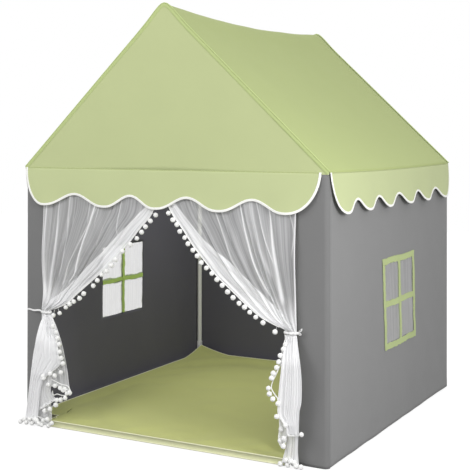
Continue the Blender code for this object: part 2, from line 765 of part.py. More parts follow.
def make_drape(curtain, material):
    def place(across, fall):
        level = min(fall, 1)
        x, z = curtain.drape_point(across, level)
        below_waist = (fall - level) / (NECK_ROW - 1)
        return x, curtain.drape_y(level), z - below_waist * NECK_HEIGHT

    name = f"curtain_drape_{curtain.side}"
    falls = [*EDGE_FALL_SHARES, NECK_ROW]
    folds = (curtain.drape_fold, curtain.drape_bunch)
    mesh = folded_cloth(name, falls, DRAPE_FOLDS, place, *folds)
    return add_object(name, mesh, material, CURTAIN_SMOOTHING)


def tail_hinge(curtain):
    """The point where the tail swings: the front of the gathered cloth, just below the tie."""
    y = WAIST_Y - WAIST_BUNCH / 2 - DRAPE_CLOTH / 2 - DRAPE_FOLD_DEPTH * NECK_FOLD_SHARE
    return Vector((curtain.waist_x, y, curtain.neck_z - TAIL_GAP))


def make_tail(curtain, material):
    def place(across, fall):
        x, z = curtain.tail_point(across, fall)
        return x, curtain.tail_y(fall), z

    name = f"curtain_tail_{curtain.side}"
    folds = (curtain.tail_fold, curtain.tail_bunch)
    mesh = folded_cloth(name, TAIL_FALL_SHARES, TAIL_FOLDS, place, *folds)
    hinge = tail_hinge(curtain)
    mesh.transform(Matrix.Translation(-hinge))
    tail = add_object(name, mesh, material, CURTAIN_SMOOTHING)
    tail.location = hinge
    return tail


# Pom-pom trims


def even_steps(line, pitch):
    """Points about one pitch apart along a line, each with the line's direction there."""
    lengths = [0]
    for here, there in zip(line, line[1:]):
        lengths.append(lengths[-1] + (there - here).length)
    count = int(round(lengths[-1] / pitch))
    steps = []
    for number in range(count):
        goal = lengths[-1] * (number + 1 / 2) / count
        spot = max(index for index, length in enumerate(lengths) if length <= goal)
        share = (goal - lengths[spot]) / (lengths[spot + 1] - lengths[spot])
        along = (line[spot + 1] - line[spot]).normalized()
        steps.append((line[spot].lerp(line[spot + 1], share), along))
    return steps


def tape_mesh(name, line):
    """A thin round tape along a line."""
    rings = []
    for number, point in enumerate(line):
        along = line[min(number + 1, len(line) - 1)] - line[max(number - 1, 0)]
        across = along.cross(Vector((0, 1, 0))).normalized() * TAPE_RADIUS
        ring = []
        for step in range(TAPE_SIDES):
            spin = Quaternion(along.normalized(), 2 * math.pi * step / TAPE_SIDES)
            ring.append(point + spin @ across)
        rings.append(ring)
    return tube_of_rings(name, rings)


def make_trim(name, line, outward, material):
    """A tape along the line, with a pom-pom hanging outward at each step."""
    tape = add_object(name, tape_mesh(name, line), material)
    balls = bmesh.new()
    for point, along in even_steps(line, POMPOM_PITCH):
        out = along.cross(Vector((0, 1, 0))).normalized()
        out *= math.copysign(POMPOM_DROP, out.dot(outward))
        place = Matrix.Translation(point + out)
        bmesh.ops.create_icosphere(balls, subdivisions=1, radius=POMPOM_RADIUS, matrix=place)
    mesh = bpy.data.meshes.new("pompoms")
    balls.to_mesh(mesh)
    balls.free()
    combine(tape, "UNION", helper(f"{name}_pompoms", mesh))
    return tape


def beside(line, gap, away):
    """A line of (x, z) points moved sideways by a gap, to the side that faces away."""
    sides = []
    for here, there in zip(line, line[1:]):
        side = Vector((there.y - here.y, here.x - there.x)).normalized()
        sides.append(side * math.copysign(1, side.dot(away)))
    moved = []
    for point, before, after in zip(line, [sides[0], *sides], [*sides, sides[-1]]):
        middle = (before + after).normalized()
        moved.append(point + middle * gap / middle.dot(after))
    return moved


def falls_between(shares, start, end):
    return [start, *[share for share in shares if start < share < end], end]


def drape_trim_line(curtain):
    """Just outside the drape's leading edge."""
    falls = falls_between(EDGE_FALL_SHARES, TRIM_START_SHARE, TRIM_END_SHARE)
    edge = [curtain.leading_edge(fall) for fall in falls]
    line = beside(edge, TAPE_RADIUS + TAPE_GAP, Vector((-curtain.sign, -1)))
    points = []
    for (x, z), fall in zip(line, falls):
        fold = curtain.drape_fold(fall) * (1 - curtain.drape_bunch(fall))
        points.append(Vector((x, curtain.drape_y(fall) + fold, z)))
    return points


def tail_trim_line(curtain):
    """Down the tail's leading edge and, where the hem climbs, back along the hem."""
    falls = falls_between(TAIL_FALL_SHARES, TAIL_TRIM_START_SHARE, 1)
    edge, ys = [], []
    for fall in falls:
        edge.append(curtain.tail_point(1, fall))
        ys.append(curtain.tail_y(fall) + curtain.tail_fold(fall) * (1 - curtain.tail_bunch(fall)))
        if curtain.side == "right" and TRIM_LOOP_SHARES[0] < fall < TRIM_LOOP_SHARES[1]:
            edge[-1].x -= RIGHT_TRIM_LOOP
    if curtain.side == "left":
        for column in range(1, HEM_TRIM_COLUMNS + 1):
            along_hem = column / SAMPLES_PER_FOLD
            edge.append(curtain.tail_point(1 - along_hem / TAIL_FOLDS, 1))
            ys.append(curtain.tail_y(1) + curtain.tail_fold(1) * math.cos(2 * math.pi * along_hem))
    line = beside(edge, TAPE_RADIUS + TAPE_GAP, Vector((-curtain.sign, -1)))
    return [Vector((x, y, z)) for (x, z), y in zip(line, ys)]


def make_trims(curtain, tail, material):
    outward = Vector((-curtain.sign, 0, -1))
    make_trim(f"pompom_trim_drape_{curtain.side}", drape_trim_line(curtain), outward, material)
    name = f"pompom_trim_tail_{curtain.side}"
    trim = make_trim(name, tail_trim_line(curtain), outward, material)
    seat_on(trim, tail)


def seat_on(piece, carrier):
    """Parents a piece that is modelled in place to the piece that carries it."""
    piece.parent = carrier
    piece.matrix_parent_inverse = Matrix.Translation(carrier.location).inverted()
    for modifier in piece.modifiers:
        modifier.object.parent = carrier
        modifier.object.matrix_parent_inverse = piece.matrix_parent_inverse


# Tiebacks


def tie_ring_mesh(name, centre, half_x, half_y):
    """A flat band round the gathered cloth."""
    profile = (
        (0, -TIE_HEIGHT / 2),
        (TIE_THICKNESS, -TIE_HEIGHT / 2),
        (TIE_THICKNESS, TIE_HEIGHT / 2),
        (0, TIE_HEIGHT / 2),
    )
    points, faces = [], []
    for step in range(TIE_SIDES):
        turn = 2 * math.pi * step / TIE_SIDES
        for out, up in profile:
            offset = ((half_x + out) * math.cos(turn), (half_y + out) * math.sin(turn), up)
            points.append(centre + Vector(offset))
    corners = len(profile)
    for step in range(TIE_SIDES):
        here, there = step * corners, (step + 1) % TIE_SIDES * corners
        for corner in range(corners):
            after = (corner + 1) % corners
            faces.append((here + corner, here + after, there + after, there + corner))
    return mesh_of(name, points, faces)


def bow_loop_mesh(name, root, tip):
    """One flattened loop of the bow, thin at the knot and full at its tip."""
    along = tip - root
    rings = []
    for share, swell in BOW_SWELL_SHARES:
        centre = root + along * share
        ring = []
        for step in range(PIPING_SIDES):
            turn = 2 * math.pi * step / PIPING_SIDES
            up = BOW_HEIGHT / 2 * swell * math.sin(turn)
            side = BOW_TIP_RADIUS * swell * math.cos(turn)
            ring.append(centre + Vector((0, side, up)))
        rings.append(ring)
    return tube_of_rings(name, rings)


def make_tieback(curtain, material):
    """A band round the waist, tied back to the wall on the left and knotted in a bow on the right."""
    half_x = WAIST_WIDTH / 2 + DRAPE_CLOTH + TIE_CLEARANCE
    half_y = (WAIST_BUNCH + DRAPE_CLOTH) / 2 + DRAPE_FOLD_DEPTH * NECK_FOLD_SHARE + TIE_CLEARANCE
    centre = Vector((curtain.waist_x, WAIST_Y, (curtain.waist_z + curtain.neck_z) / 2))
    name = f"tieback_{curtain.side}"
    mesh = tie_ring_mesh(name, centre, half_x, half_y)
    tie = add_object(name, mesh, material, TUBE_SMOOTHING)
    root = centre + Vector((curtain.sign * (half_x + TIE_THICKNESS / 2), 0, 0))
    if curtain.side == "left":
        wall_end = splayed((-HALF_WIDTH + TIE_CORD_INSET, -HALF_DEPTH, centre.z))
        wall_end.y -= TIE_CORD_RADIUS + SEAM_GAP
        cord = rod_mesh("cord", root, wall_end, TIE_CORD_RADIUS, TIE_CORD_SIDES)
        combine(tie, "UNION", helper(f"{name}_cord", cord))
    else:
        for number, rise in enumerate(BOW_RISE_SHARES):
            tip = root + Vector((BOW_OUT_SHARE, 0, rise)) * BOW_LENGTH
            loop = bow_loop_mesh("loop", root, tip)
            combine(tie, "UNION", helper(f"{name}_loop_{number}", loop))
    return tie


def make_curtains(sheer, white):
    for side in ("left", "right"):
        curtain = Curtain(side)
        make_drape(curtain, sheer)
        tail = make_tail(curtain, sheer)
        make_tieback(curtain, white)
        make_trims(curtain, tail, white)


# Mat


def mat_outline(across, along):
    """A point of the mat's plan. Its front edge bulges out through the doorway."""
    x = across * MAT_HALF_WIDTH
    tongue_edge = DOOR_HALF - MAT_TONGUE_GAP
    reach = HALF_DEPTH + MAT_TONGUE - MAT_HALF_DEPTH
    bulge = reach * (1 - smooth_step(MAT_TONGUE_SHARE * tongue_edge, tongue_edge, abs(x)))
    return Vector((x, mix(-MAT_HALF_DEPTH - bulge, MAT_HALF_DEPTH, (along + 1) / 2), 0))


def mat_curl(across, along):
    """How far a point is lifted where the corners curl up against the posts."""
    away = math.hypot((1 - abs(across)) * MAT_HALF_WIDTH, (1 - abs(along)) * MAT_HALF_DEPTH)
    return MAT_CURL * max(1 - away / MAT_CURL_REACH, 0) ** MAT_CURL_STEEPNESS


def mat_crown(across, along):
    """How far the top swells above its edges."""
    return MAT_CROWN * (1 - across**MAT_CROWN_FLATNESS) * (1 - along**MAT_CROWN_FLATNESS)


def mat_rim(count_x, count_y):
    """The grid places round the edge of the mat, in order."""
    last_x, last_y = count_x - 1, count_y - 1
    rim = [(x, 0) for x in range(count_x)] + [(last_x, y) for y in range(1, count_y)]
    rim += [(x, last_y) for x in range(last_x - 1, -1, -1)]
    rim += [(0, y) for y in range(last_y - 1, 0, -1)]
    return rim


def make_mat(material):
    """A boxed pad: crowned top, piped edges and sides drawn in between them."""
    shares_x, shares_y = MAT_ACROSS_SHARES, MAT_ALONG_SHARES
    count_x, count_y = len(shares_x), len(shares_y)
    points, faces = [], []
    for is_top in (True, False):
        for along in shares_y:
            for across in shares_x:
                place = mat_outline(across, along)
                top = MAT_THICKNESS + mat_crown(across, along) if is_top else 0
                points.append(place + Vector((0, 0, top + mat_curl(across, along))))
    layer = count_x * count_y
    for y in range(count_y - 1):
        for x in range(count_x - 1):
            corner = y * count_x + x
            face = (corner, corner + 1, corner + count_x + 1, corner + count_x)
            faces.append(face)
            faces.append(tuple(layer + index for index in reversed(face)))
    rim = mat_rim(count_x, count_y)
    profile = (
        (MAT_PIPING, MAT_THICKNESS - MAT_PIPING),
        (-MAT_DRAWN_IN, MAT_THICKNESS / 2),
        (MAT_PIPING, MAT_PIPING),
    )
    loops = [[y * count_x + x for x, y in rim]]
    for out, height in profile:
        loop = []
        for number, (x, y) in enumerate(rim):
            before = mat_outline(shares_x[rim[number - 1][0]], shares_y[rim[number - 1][1]])
            following = rim[(number + 1) % len(rim)]
            after = mat_outline(shares_x[following[0]], shares_y[following[1]])
            side = (after - before).cross(Vector((0, 0, 1))).normalized()
            place = mat_outline(shares_x[x], shares_y[y]) + side * out
            lift = mat_curl(shares_x[x], shares_y[y])
            loop.append(len(points))
            points.append(place + Vector((0, 0, height + lift)))
        loops.append(loop)
    loops.append([layer + y * count_x + x for x, y in rim])
    for upper, lower in zip(loops, loops[1:]):
        for number in range(len(rim)):
            there = (number + 1) % len(rim)
            faces.append((upper[number], lower[number], lower[there], upper[there]))
    return add_object("mat", mesh_of("mat", points, faces), material, MAT_SMOOTHING)


def clear_scene():
    for obj in list(bpy.data.objects):
        bpy.data.objects.remove(obj)


def build_tent():
    clear_scene()
    white_plastic = make_material("white_plastic", (226, 226, 226), 0.35)
    wall_cloth = make_material("grey_cloth", (128, 128, 128), 0.9)
    roof_cloth = make_material("green_cloth", (190, 202, 146), 0.9)
    piping_cloth = make_material("green_piping", (186, 205, 128), 0.85)
    trim_cloth = make_material("green_tape", (165, 190, 112), 0.9)
    binding_cloth = make_material("white_binding", (246, 246, 240), 0.9)
    sheer = make_material("white_sheer", (240, 240, 242), 0.8, alpha=0.6)
    window_sheer = make_material("window_sheer", (214, 212, 218), 0.8, alpha=0.7)
    white_yarn = make_material("white_yarn", (248, 248, 248), 1.0)
    mat_cloth = make_material("olive_cloth", (172, 176, 118), 0.9)
    make_tubes(white_plastic)
    make_joints(white_plastic)
    make_walls(wall_cloth, window_sheer, trim_cloth)
    make_roof(roof_cloth, piping_cloth)
    make_valances(roof_cloth, binding_cloth)
    make_curtains(sheer, white_yarn)
    make_mat(mat_cloth)


build_tent()
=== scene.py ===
# %% [markdown]
# # A kids' play tent
# The real object is a light frame of white plastic tubes with a cloth cover pulled over it: grey
# walls, a green gable roof with scalloped valances, sheer curtains with pom-poms and a padded mat.
# The solid model comes first, as a fixed frame, so that every piece of cloth has a true place.
# All the numbers are in metres, +Z is up and the doorway faces -Y.

# %% Load the solid model
import math

import bmesh
import bpy
import numpy as np
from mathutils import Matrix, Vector
from mathutils.kdtree import KDTree


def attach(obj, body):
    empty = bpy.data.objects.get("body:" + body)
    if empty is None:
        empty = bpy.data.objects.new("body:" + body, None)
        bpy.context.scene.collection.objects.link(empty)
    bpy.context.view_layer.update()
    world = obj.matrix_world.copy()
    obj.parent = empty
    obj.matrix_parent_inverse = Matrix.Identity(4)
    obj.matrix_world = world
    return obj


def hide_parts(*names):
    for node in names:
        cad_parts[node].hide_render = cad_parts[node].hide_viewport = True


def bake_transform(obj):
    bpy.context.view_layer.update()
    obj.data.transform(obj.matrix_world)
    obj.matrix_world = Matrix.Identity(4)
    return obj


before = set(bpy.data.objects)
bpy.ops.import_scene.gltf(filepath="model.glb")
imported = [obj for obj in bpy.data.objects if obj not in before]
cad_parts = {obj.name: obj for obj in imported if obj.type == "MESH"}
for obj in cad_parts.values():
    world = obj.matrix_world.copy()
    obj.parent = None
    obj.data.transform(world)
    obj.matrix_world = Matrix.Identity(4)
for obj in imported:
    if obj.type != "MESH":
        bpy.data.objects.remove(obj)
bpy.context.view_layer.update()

# %% [markdown]
# ## The camera
# A picture of a product is often taken with a long lens from standing height. That keeps upright
# edges upright. The camera goes in first, because each later step is judged through it.

# %% Camera
CAMERA_PLACE = (1.7645, -3.3645, 0.9884)
CAMERA_TURN = math.radians(28.52)
CAMERA_DIP = math.radians(5.49)
LENS_LENGTH = 79.71
SENSOR_WIDTH = 36

camera = bpy.data.objects.new("camera", bpy.data.cameras.new("camera"))
camera.data.lens = LENS_LENGTH
camera.data.sensor_width = SENSOR_WIDTH
camera.location = CAMERA_PLACE
camera.rotation_euler = (math.radians(90) - CAMERA_DIP, 0, CAMERA_TURN)
bpy.context.scene.collection.objects.link(camera)
bpy.context.scene.camera = camera
print("camera at", CAMERA_PLACE)

# %% [markdown]
# ## Floor and light
# The tent stands on a plain pale floor under a wide soft light, as in a photo studio. The world
# gives even light from all round. A small lamp at the right shades the side wall and draws the
# thin shadows of its scallops, and a larger lamp fills in from the front left, above. What the
# camera sees of the world and of the floor is white, and so is what glass and gloss see, but the
# light that falls on the tent stays at a plain level. Real roof cloth lets some daylight through,
# which a small soft lamp under the ridge stands for.

# %% Helpers for material nodes
def new_node(tree, kind, **settings):
    node = tree.nodes.new(kind)
    for key, value in settings.items():
        setattr(node, key, value)
    return node


def feed(tree, source, socket):
    """Links a socket to another, or sets it to a number."""
    if isinstance(source, bpy.types.NodeSocket):
        tree.links.new(source, socket)
    else:
        socket.default_value = source


def maths(tree, operation, first, second=0.0, third=None):
    node = new_node(tree, "ShaderNodeMath", operation=operation)
    feed(tree, first, node.inputs[0])
    feed(tree, second, node.inputs[1])
    if third is not None:
        feed(tree, third, node.inputs[2])
    return node.outputs[0]


def blend_colours(tree, share, first, second):
    node = new_node(tree, "ShaderNodeMix", data_type="RGBA")
    feed(tree, share, node.inputs[0])
    feed(tree, first, node.inputs[6])
    feed(tree, second, node.inputs[7])
    return node.outputs[2]


def rgb(red, green, blue):
    """A colour picked as 0 to 255, in the linear values that a shader reads."""
    shades = [shade / 255 for shade in (red, green, blue)]
    linear = [s / 12.92 if s <= 0.04045 else ((s + 0.055) / 1.055) ** 2.4 for s in shades]
    return (*linear, 1.0)


def shaded_material(name, roughness):
    """A new material, with its node tree and its main shader."""
    material = bpy.data.materials.new(name)
    material.use_nodes = True
    shader = material.node_tree.nodes["Principled BSDF"]
    shader.inputs["Roughness"].default_value = roughness
    return material, material.node_tree, shader


def noise(tree, scale, detail=2, place=None):
    """The value of a noise, over the object's own space where no other place is given."""
    texture = new_node(tree, "ShaderNodeTexNoise")
    texture.inputs["Scale"].default_value = scale
    texture.inputs["Detail"].default_value = detail
    if place is None:
        place = new_node(tree, "ShaderNodeTexCoord").outputs["Object"]
    feed(tree, place, texture.inputs["Vector"])
    return texture.outputs["Fac"]


def add_bump(tree, shader, height, strength, distance):
    bumps = new_node(tree, "ShaderNodeBump")
    bumps.inputs["Strength"].default_value = strength
    bumps.inputs["Distance"].default_value = distance
    feed(tree, height, bumps.inputs["Height"])
    feed(tree, bumps.outputs[0], shader.inputs["Normal"])


# %% World, floor and lamps
AMBIENT = 0.78
FLOOR_SIZE = 14
FLOOR_DROP = 0.0005
FLOOR_GREY = 0.30
FLOOR_GLOW = 0.80
HALF_WIDTH = 0.56
HALF_DEPTH = 0.58
# each lamp: its place, the place that it points at, its size and its power
LAMPS = {
    "key": ((2.0, -1.15, 1.1), (0, 0, 0.6), 0.5, 17.5),
    "front_fill": ((-1.0, -3.2, 2.5), (0, 0, 0.5), 1.6, 36),
    "roof_glow": ((-0.14, 0.18, 0.96), (-0.14, 0.18, 0), 0.60, 2.7),
}
ROOF_GLOW_SPREAD = math.radians(140)

scene = bpy.context.scene
scene.view_settings.view_transform = "Standard"


def seen_directly(tree):
    """1 for a ray that shows the background: straight, in a gloss or through glass."""
    path = new_node(tree, "ShaderNodeLightPath")
    seen = maths(tree, "MAXIMUM", path.outputs["Is Camera Ray"], path.outputs["Is Glossy Ray"])
    return maths(tree, "MAXIMUM", seen, path.outputs["Is Transmission Ray"])


world = bpy.data.worlds.new("studio")
world.use_nodes = True
sky = world.node_tree
sky.nodes["Background"].inputs["Color"].default_value = (1, 1, 1, 1)
strength = maths(sky, "MULTIPLY_ADD", seen_directly(sky), 1 - AMBIENT, AMBIENT)
feed(sky, strength, sky.nodes["Background"].inputs["Strength"])
scene.world = world


def studio_floor():
    material, tree, shader = shaded_material("studio_floor", 1.0)
    shader.inputs["Base Color"].default_value = (FLOOR_GREY, FLOOR_GREY, FLOOR_GREY, 1)
    shader.inputs["Emission Color"].default_value = (1, 1, 1, 1)
    glow = maths(tree, "MULTIPLY", seen_directly(tree), FLOOR_GLOW)
    feed(tree, maths(tree, "MULTIPLY", glow, outside_tent(tree)), shader.inputs["Emission Strength"])
    return material


def outside_tent(tree):
    """0 on the floor inside the tent, which stays dark, and 1 all round it."""
    split = new_node(tree, "ShaderNodeSeparateXYZ")
    feed(tree, new_node(tree, "ShaderNodeTexCoord").outputs["Object"], split.inputs[0])
    past_side = maths(tree, "GREATER_THAN", maths(tree, "ABSOLUTE", split.outputs[0]), HALF_WIDTH)
    past_end = maths(tree, "GREATER_THAN", maths(tree, "ABSOLUTE", split.outputs[1]), HALF_DEPTH)
    return maths(tree, "MAXIMUM", past_side, past_end)


bpy.ops.mesh.primitive_plane_add(size=FLOOR_SIZE, location=(0, 0, -FLOOR_DROP))
floor = bpy.context.object
floor.name = "floor"
floor.data.materials.append(studio_floor())


def soft_lamp(name, place, target, size, power):
    lamp = bpy.data.lights.new(name, "AREA")
    lamp.size = size
    lamp.energy = power
    obj = bpy.data.objects.new(name, lamp)
    obj.location = place
    obj.rotation_euler = (Vector(target) - Vector(place)).to_track_quat("-Z", "Y").to_euler()
    obj.visible_camera = False
    scene.collection.objects.link(obj)
    return obj


lamps = {name: soft_lamp(name, *settings) for name, settings in LAMPS.items()}
lamps["roof_glow"].data.spread = ROOF_GLOW_SPREAD
print("world strength", AMBIENT, "and lamps", *lamps)

# %% [markdown]
# ## How cloth is finished
# Woven cloth has three scales: the threads, seen as a fine bump, soft uneven dye over a hand's
# width, and the rows of stitches along its seams. The threads and the stitches are laid out in the
# sheet's own flat coordinates, in metres, so they follow each fold. Two crossed waves make a plain
# weave. A wave texture repeats every 0.314 divided by its scale.

# %% Cloth material
WAVE_UNIT = 0.314
STITCH_LENGTH = 0.0042
STITCH_SHARE = 0.62
STITCH_WIDTH = 0.0011
WEAVE_BUMP = 0.35
WEAVE_SHARE = 0.5
CLOUD_SCALE = 1 / 0.12
FLECK_SCALE = 420
CLOUD_SHARE = 0.65


def weave_height(tree, flat, pitch):
    """The bump of a plain weave, from the flat coordinates of the sheet."""
    waves = []
    for direction in ("X", "Y"):
        wave = new_node(tree, "ShaderNodeTexWave", wave_type="BANDS", bands_direction=direction)
        wave.inputs["Scale"].default_value = WAVE_UNIT / pitch
        feed(tree, flat, wave.inputs["Vector"])
        waves.append(wave.outputs["Fac"])
    return maths(tree, "MULTIPLY", *waves)


def stitch_mask(tree, along, across, rows):
    """1 on the stitches of each row, 0 between them. Rows are places in the across direction."""
    beat = maths(tree, "FRACT", maths(tree, "DIVIDE", along, STITCH_LENGTH))
    dash = maths(tree, "LESS_THAN", beat, STITCH_SHARE)
    mask = 0.0
    for row in rows:
        off = maths(tree, "ABSOLUTE", maths(tree, "SUBTRACT", across, row))
        mask = maths(tree, "MAXIMUM", mask, maths(tree, "LESS_THAN", off, STITCH_WIDTH / 2))
    return maths(tree, "MULTIPLY", dash, mask)


def fibre_shade(tree, colour, amount):
    """The colour with soft uneven dye and fine flecks in it."""
    share = maths(tree, "MULTIPLY_ADD", noise(tree, FLECK_SCALE), 1 - CLOUD_SHARE, 0.0)
    share = maths(tree, "MULTIPLY_ADD", noise(tree, CLOUD_SCALE, detail=5), CLOUD_SHARE, share)
    dark = tuple(value * (1 - amount) for value in colour[:3]) + (1,)
    light = tuple(min(value * (1 + amount), 1) for value in colour[:3]) + (1,)
    return blend_colours(tree, share, dark, light)


def painted_inner_face_mask(tree):
    """1 on the faces that look towards the middle of the tent, where the painted inner colour goes, and 0 on
    those that look out.
    """
    place = new_node(tree, "ShaderNodeTexCoord")
    across = new_node(tree, "ShaderNodeVectorMath", operation="MULTIPLY")
    feed(tree, place.outputs["Object"], across.inputs[0])
    across.inputs[1].default_value = (1, 1, 0)
    facing = new_node(tree, "ShaderNodeVectorMath", operation="DOT_PRODUCT")
    feed(tree, across.outputs[0], facing.inputs[0])
    feed(tree, place.outputs["Normal"], facing.inputs[1])
    return maths(tree, "LESS_THAN", facing.outputs["Value"], 0.0)


def cloth_material(name, colour, pitch=0.0011, uneven=0.05, rows_v=(), rows_u=(), thread=None, inside=None):
    """A woven cloth with stitched rows at the given places of its flat coordinates.

    pitch is the distance of its threads, and inside is a colour painted on its inner face: painted
    shade on the walls, which are darker inside, and painted light on the window tapes.
    """
    material, tree, shader = shaded_material(name, 0.92)
    flat = new_node(tree, "ShaderNodeTexCoord").outputs["UV"]
    split = new_node(tree, "ShaderNodeSeparateXYZ")
    feed(tree, flat, split.inputs[0])
    height = maths(tree, "MULTIPLY", weave_height(tree, flat, pitch), WEAVE_SHARE)
    base = fibre_shade(tree, colour, uneven)
    # Painted light and shade: the inner face takes its own colour.
    if inside:
        base = blend_colours(tree, painted_inner_face_mask(tree), base, inside)
    stitches = 0.0
    if rows_v:
        stitches = stitch_mask(tree, split.outputs[0], split.outputs[1], rows_v)
    if rows_u:
        more = stitch_mask(tree, split.outputs[1], split.outputs[0], rows_u)
        stitches = maths(tree, "MAXIMUM", stitches, more)
    if rows_v or rows_u:
        height = maths(tree, "ADD", height, stitches)
        base = blend_colours(tree, stitches, base, thread or colour)
    add_bump(tree, shader, height, WEAVE_BUMP, pitch / 2)
    feed(tree, base, shader.inputs["Base Color"])
    shader.inputs["Specular IOR Level"].default_value = 0.25
    shader.inputs["Sheen Weight"].default_value = 0.12
    shader.inputs["Sheen Roughness"].default_value = 0.5
    material.diffuse_color = colour
    return material


# %% [markdown]
# ## Sheets of cloth
# Each panel is a grid of points with a place in its flat cut and a place in the air. The grid is
# made with arrays, which is quick and exact: a fold or a sag is one line of arithmetic. A Solidify
# modifier then gives opaque cloth its thickness, while a sheer voile stays a single layer.

# %% Helpers for sheets
WAVES_EACH = 5
WAVE_GAIN = 1.8


def grid(*parts):
    """Arrays that run over rows or columns, as one array of places."""
    return np.stack(np.broadcast_arrays(*parts), axis=-1)


def path_lengths(path):
    """How far along a path each of its points lies."""
    return np.concatenate([[0], np.cumsum(np.linalg.norm(np.diff(path, axis=0), axis=1))])


def sheet_object(name, points, flat, material, thickness=0.0, offset=-1.0, keep=None):
    """An object from a grid of points (rows, columns, 3) and its flat places (rows, columns, 2)."""
    rows, columns = points.shape[:2]
    faces = []
    for row in range(rows - 1):
        for column in range(columns - 1):
            if keep is None or keep[row, column]:
                here = row * columns + column
                faces.append((here, here + 1, here + columns + 1, here + columns))
    mesh = bpy.data.meshes.new(name)
    mesh.from_pydata(points.reshape(-1, 3).tolist(), [], faces)
    corners = np.empty(len(mesh.loops), np.int32)
    mesh.loops.foreach_get("vertex_index", corners)
    layer = mesh.uv_layers.new(name="flat")
    layer.data.foreach_set("uv", flat.reshape(-1, 2)[corners].astype(np.float32).ravel())
    mesh.shade_smooth()
    mesh.materials.append(material)
    obj = bpy.data.objects.new(name, mesh)
    scene.collection.objects.link(obj)
    drop_loose_points(mesh)
    if thickness:
        solid = obj.modifiers.new("thickness", "SOLIDIFY")
        solid.thickness = thickness
        solid.offset = offset
        solid.use_even_offset = True
    return obj


def drop_loose_points(mesh):
    shape = bmesh.new()
    shape.from_mesh(mesh)
    loose = [vertex for vertex in shape.verts if not vertex.link_faces]
    bmesh.ops.delete(shape, geom=loose, context="VERTS")
    shape.to_mesh(mesh)
    shape.free()


def smooth_step(low, high, value):
    share = np.clip((np.asarray(value, float) - low) / (high - low), 0, 1)
    return share * share * (3 - 2 * share)


def mix(first, second, share):
    return first + (second - first) * share


def waves(u, v, seed, size):
    """Smooth uneven swells, from -1 to 1, for arrays of flat places."""
    chance = np.random.default_rng(seed)
    total = np.zeros(np.broadcast(u, v).shape)
    weight = 0.0
    for share in (1, 1 / 2):
        for _ in range(WAVES_EACH):
            turn, phase = chance.uniform(0, 2 * math.pi, 2)
            pitch = size * share * chance.uniform(0.7, 1.4)
            spot = (u * math.cos(turn) + v * math.sin(turn)) * 2 * math.pi / pitch + phase
            total += np.sin(spot) * share
        weight += WAVES_EACH * share
    return total / weight * WAVE_GAIN


def finish_piece(obj, body, replaces=(), bend=None):
    """The piece moves with a body of the frame and stands for some nodes, which it hides.

    When bend is given, the piece's place is baked into its points and it isn't attached to the body.
    """
    if bend:
        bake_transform(obj)
    else:
        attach(obj, body)
    if replaces:
        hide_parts(*replaces)
    return obj


# %% [markdown]
# ## The walls
# Four grey panels hang from the eaves and wrap round the corner posts. They lean out a little
# towards the floor, where the child pushes them, and the hem isn't quite straight. The front and
# back panels turn round the posts and meet the side panels in a seam, so a soft upright band shows
# at each corner. A path round the posts gives the columns of the grid.

# %% Sizes of the body
EAVE_HEIGHT = 0.88
RIDGE_HEIGHT = 1.40
WALL_TOP = 0.8729
HEM_SPLAY = 0.013
CLOTH = 0.0015
CORNER_RADIUS = 0.0145
DOOR_HALF = 0.455
DOOR_HEIGHT = 0.80
WINDOW_HEIGHT = 0.425
WINDOW_HALF = 0.135
TRIM_WIDTH = 0.021
GRID_STEP = 0.011
HEM_FOLD = 0.02
DOOR_FOLD = 0.018
DOOR_FOLD_STEP = 0.0006
FOLD_STEP = 0.0005
# the hem: its height over the floor, its waves, their size, and how far up they reach
HEM_CLEARANCE = 0.0028
HEM_WAVE = 0.0022
HEM_WAVE_SIZE = 0.30
HEM_REACH = 0.12
# the swells of the hanging cloth: how far they stand off, their size, and where they are in full
BROAD_SWELL = 0.0016
BROAD_SIZE = 0.34
BROAD_STRETCH = 0.35
FINE_SWELL = 0.0006
FINE_SIZE = 0.09
SWELL_FULL = 0.45
# how near to a corner, a doorway's edge or a window the cloth is held
CORNER_HOLD = 0.03
SEAM_HOLD = 0.04
DOOR_HOLD = 0.05
DOOR_CALM = 0.6
LEAN_END = 0.42
LEAN_FULL = 0.17
# each window: its side, its middle along the wall, and how crooked it is
WINDOWS = {"left": (-1, 0.0, 0.0), "right": (1, 0.0285, math.tan(math.radians(4.4)))}

# Painted shade: the inner faces of the walls take a darker, bluer grey than the same cloth outside, for the
# shade inside the tent.
INNER_PAINTED_SHADE_GREY = rgb(100, 99, 109)
HEM_STITCHES = (0.018, 0.021)
wall_cloth_painted_shade_inside = cloth_material(
    "grey_wall_cloth_painted_shade_inside", rgb(138, 138, 138), rows_v=HEM_STITCHES, uneven=0.045, inside=INNER_PAINTED_SHADE_GREY
)
# Painted shade: the front panel is a darker copy of the other walls' grey cloth, for the shade on the jambs
# under the valance.
door_wall_cloth_painted_shade = cloth_material(
    "grey_door_cloth_painted_shade",
    rgb(127, 127, 127),
    rows_v=HEM_STITCHES,
    rows_u=(0.016,),
    uneven=0.045,
    inside=INNER_PAINTED_SHADE_GREY,
)


def spaced(stops, step):
    """Evenly spaced places that hit every stop."""
    places = [stops[0]]
    for start, end in zip(stops, stops[1:]):
        count = max(round((end - start) / step), 1)
        places += [mix(start, end, number / count) for number in range(1, count + 1)]
    return np.array(places)


def splayed(x, y, z):
    """A place of the upright box, moved to where the walls lean out towards the floor."""
    lean = 1 + HEM_SPLAY / HALF_WIDTH * (1 - z / EAVE_HEIGHT)
    return x * lean, y * lean


def wall_swell(u, z, seed):
    """How far the hanging cloth stands off its flat panel: soft swells that grow towards the hem."""
    broad = BROAD_SWELL * waves(u, z * BROAD_STRETCH, seed, BROAD_SIZE)
    fine = FINE_SWELL * waves(u, z, seed + 9, FINE_SIZE)
    return (broad + fine) * smooth_step(WALL_TOP, SWELL_FULL, z)


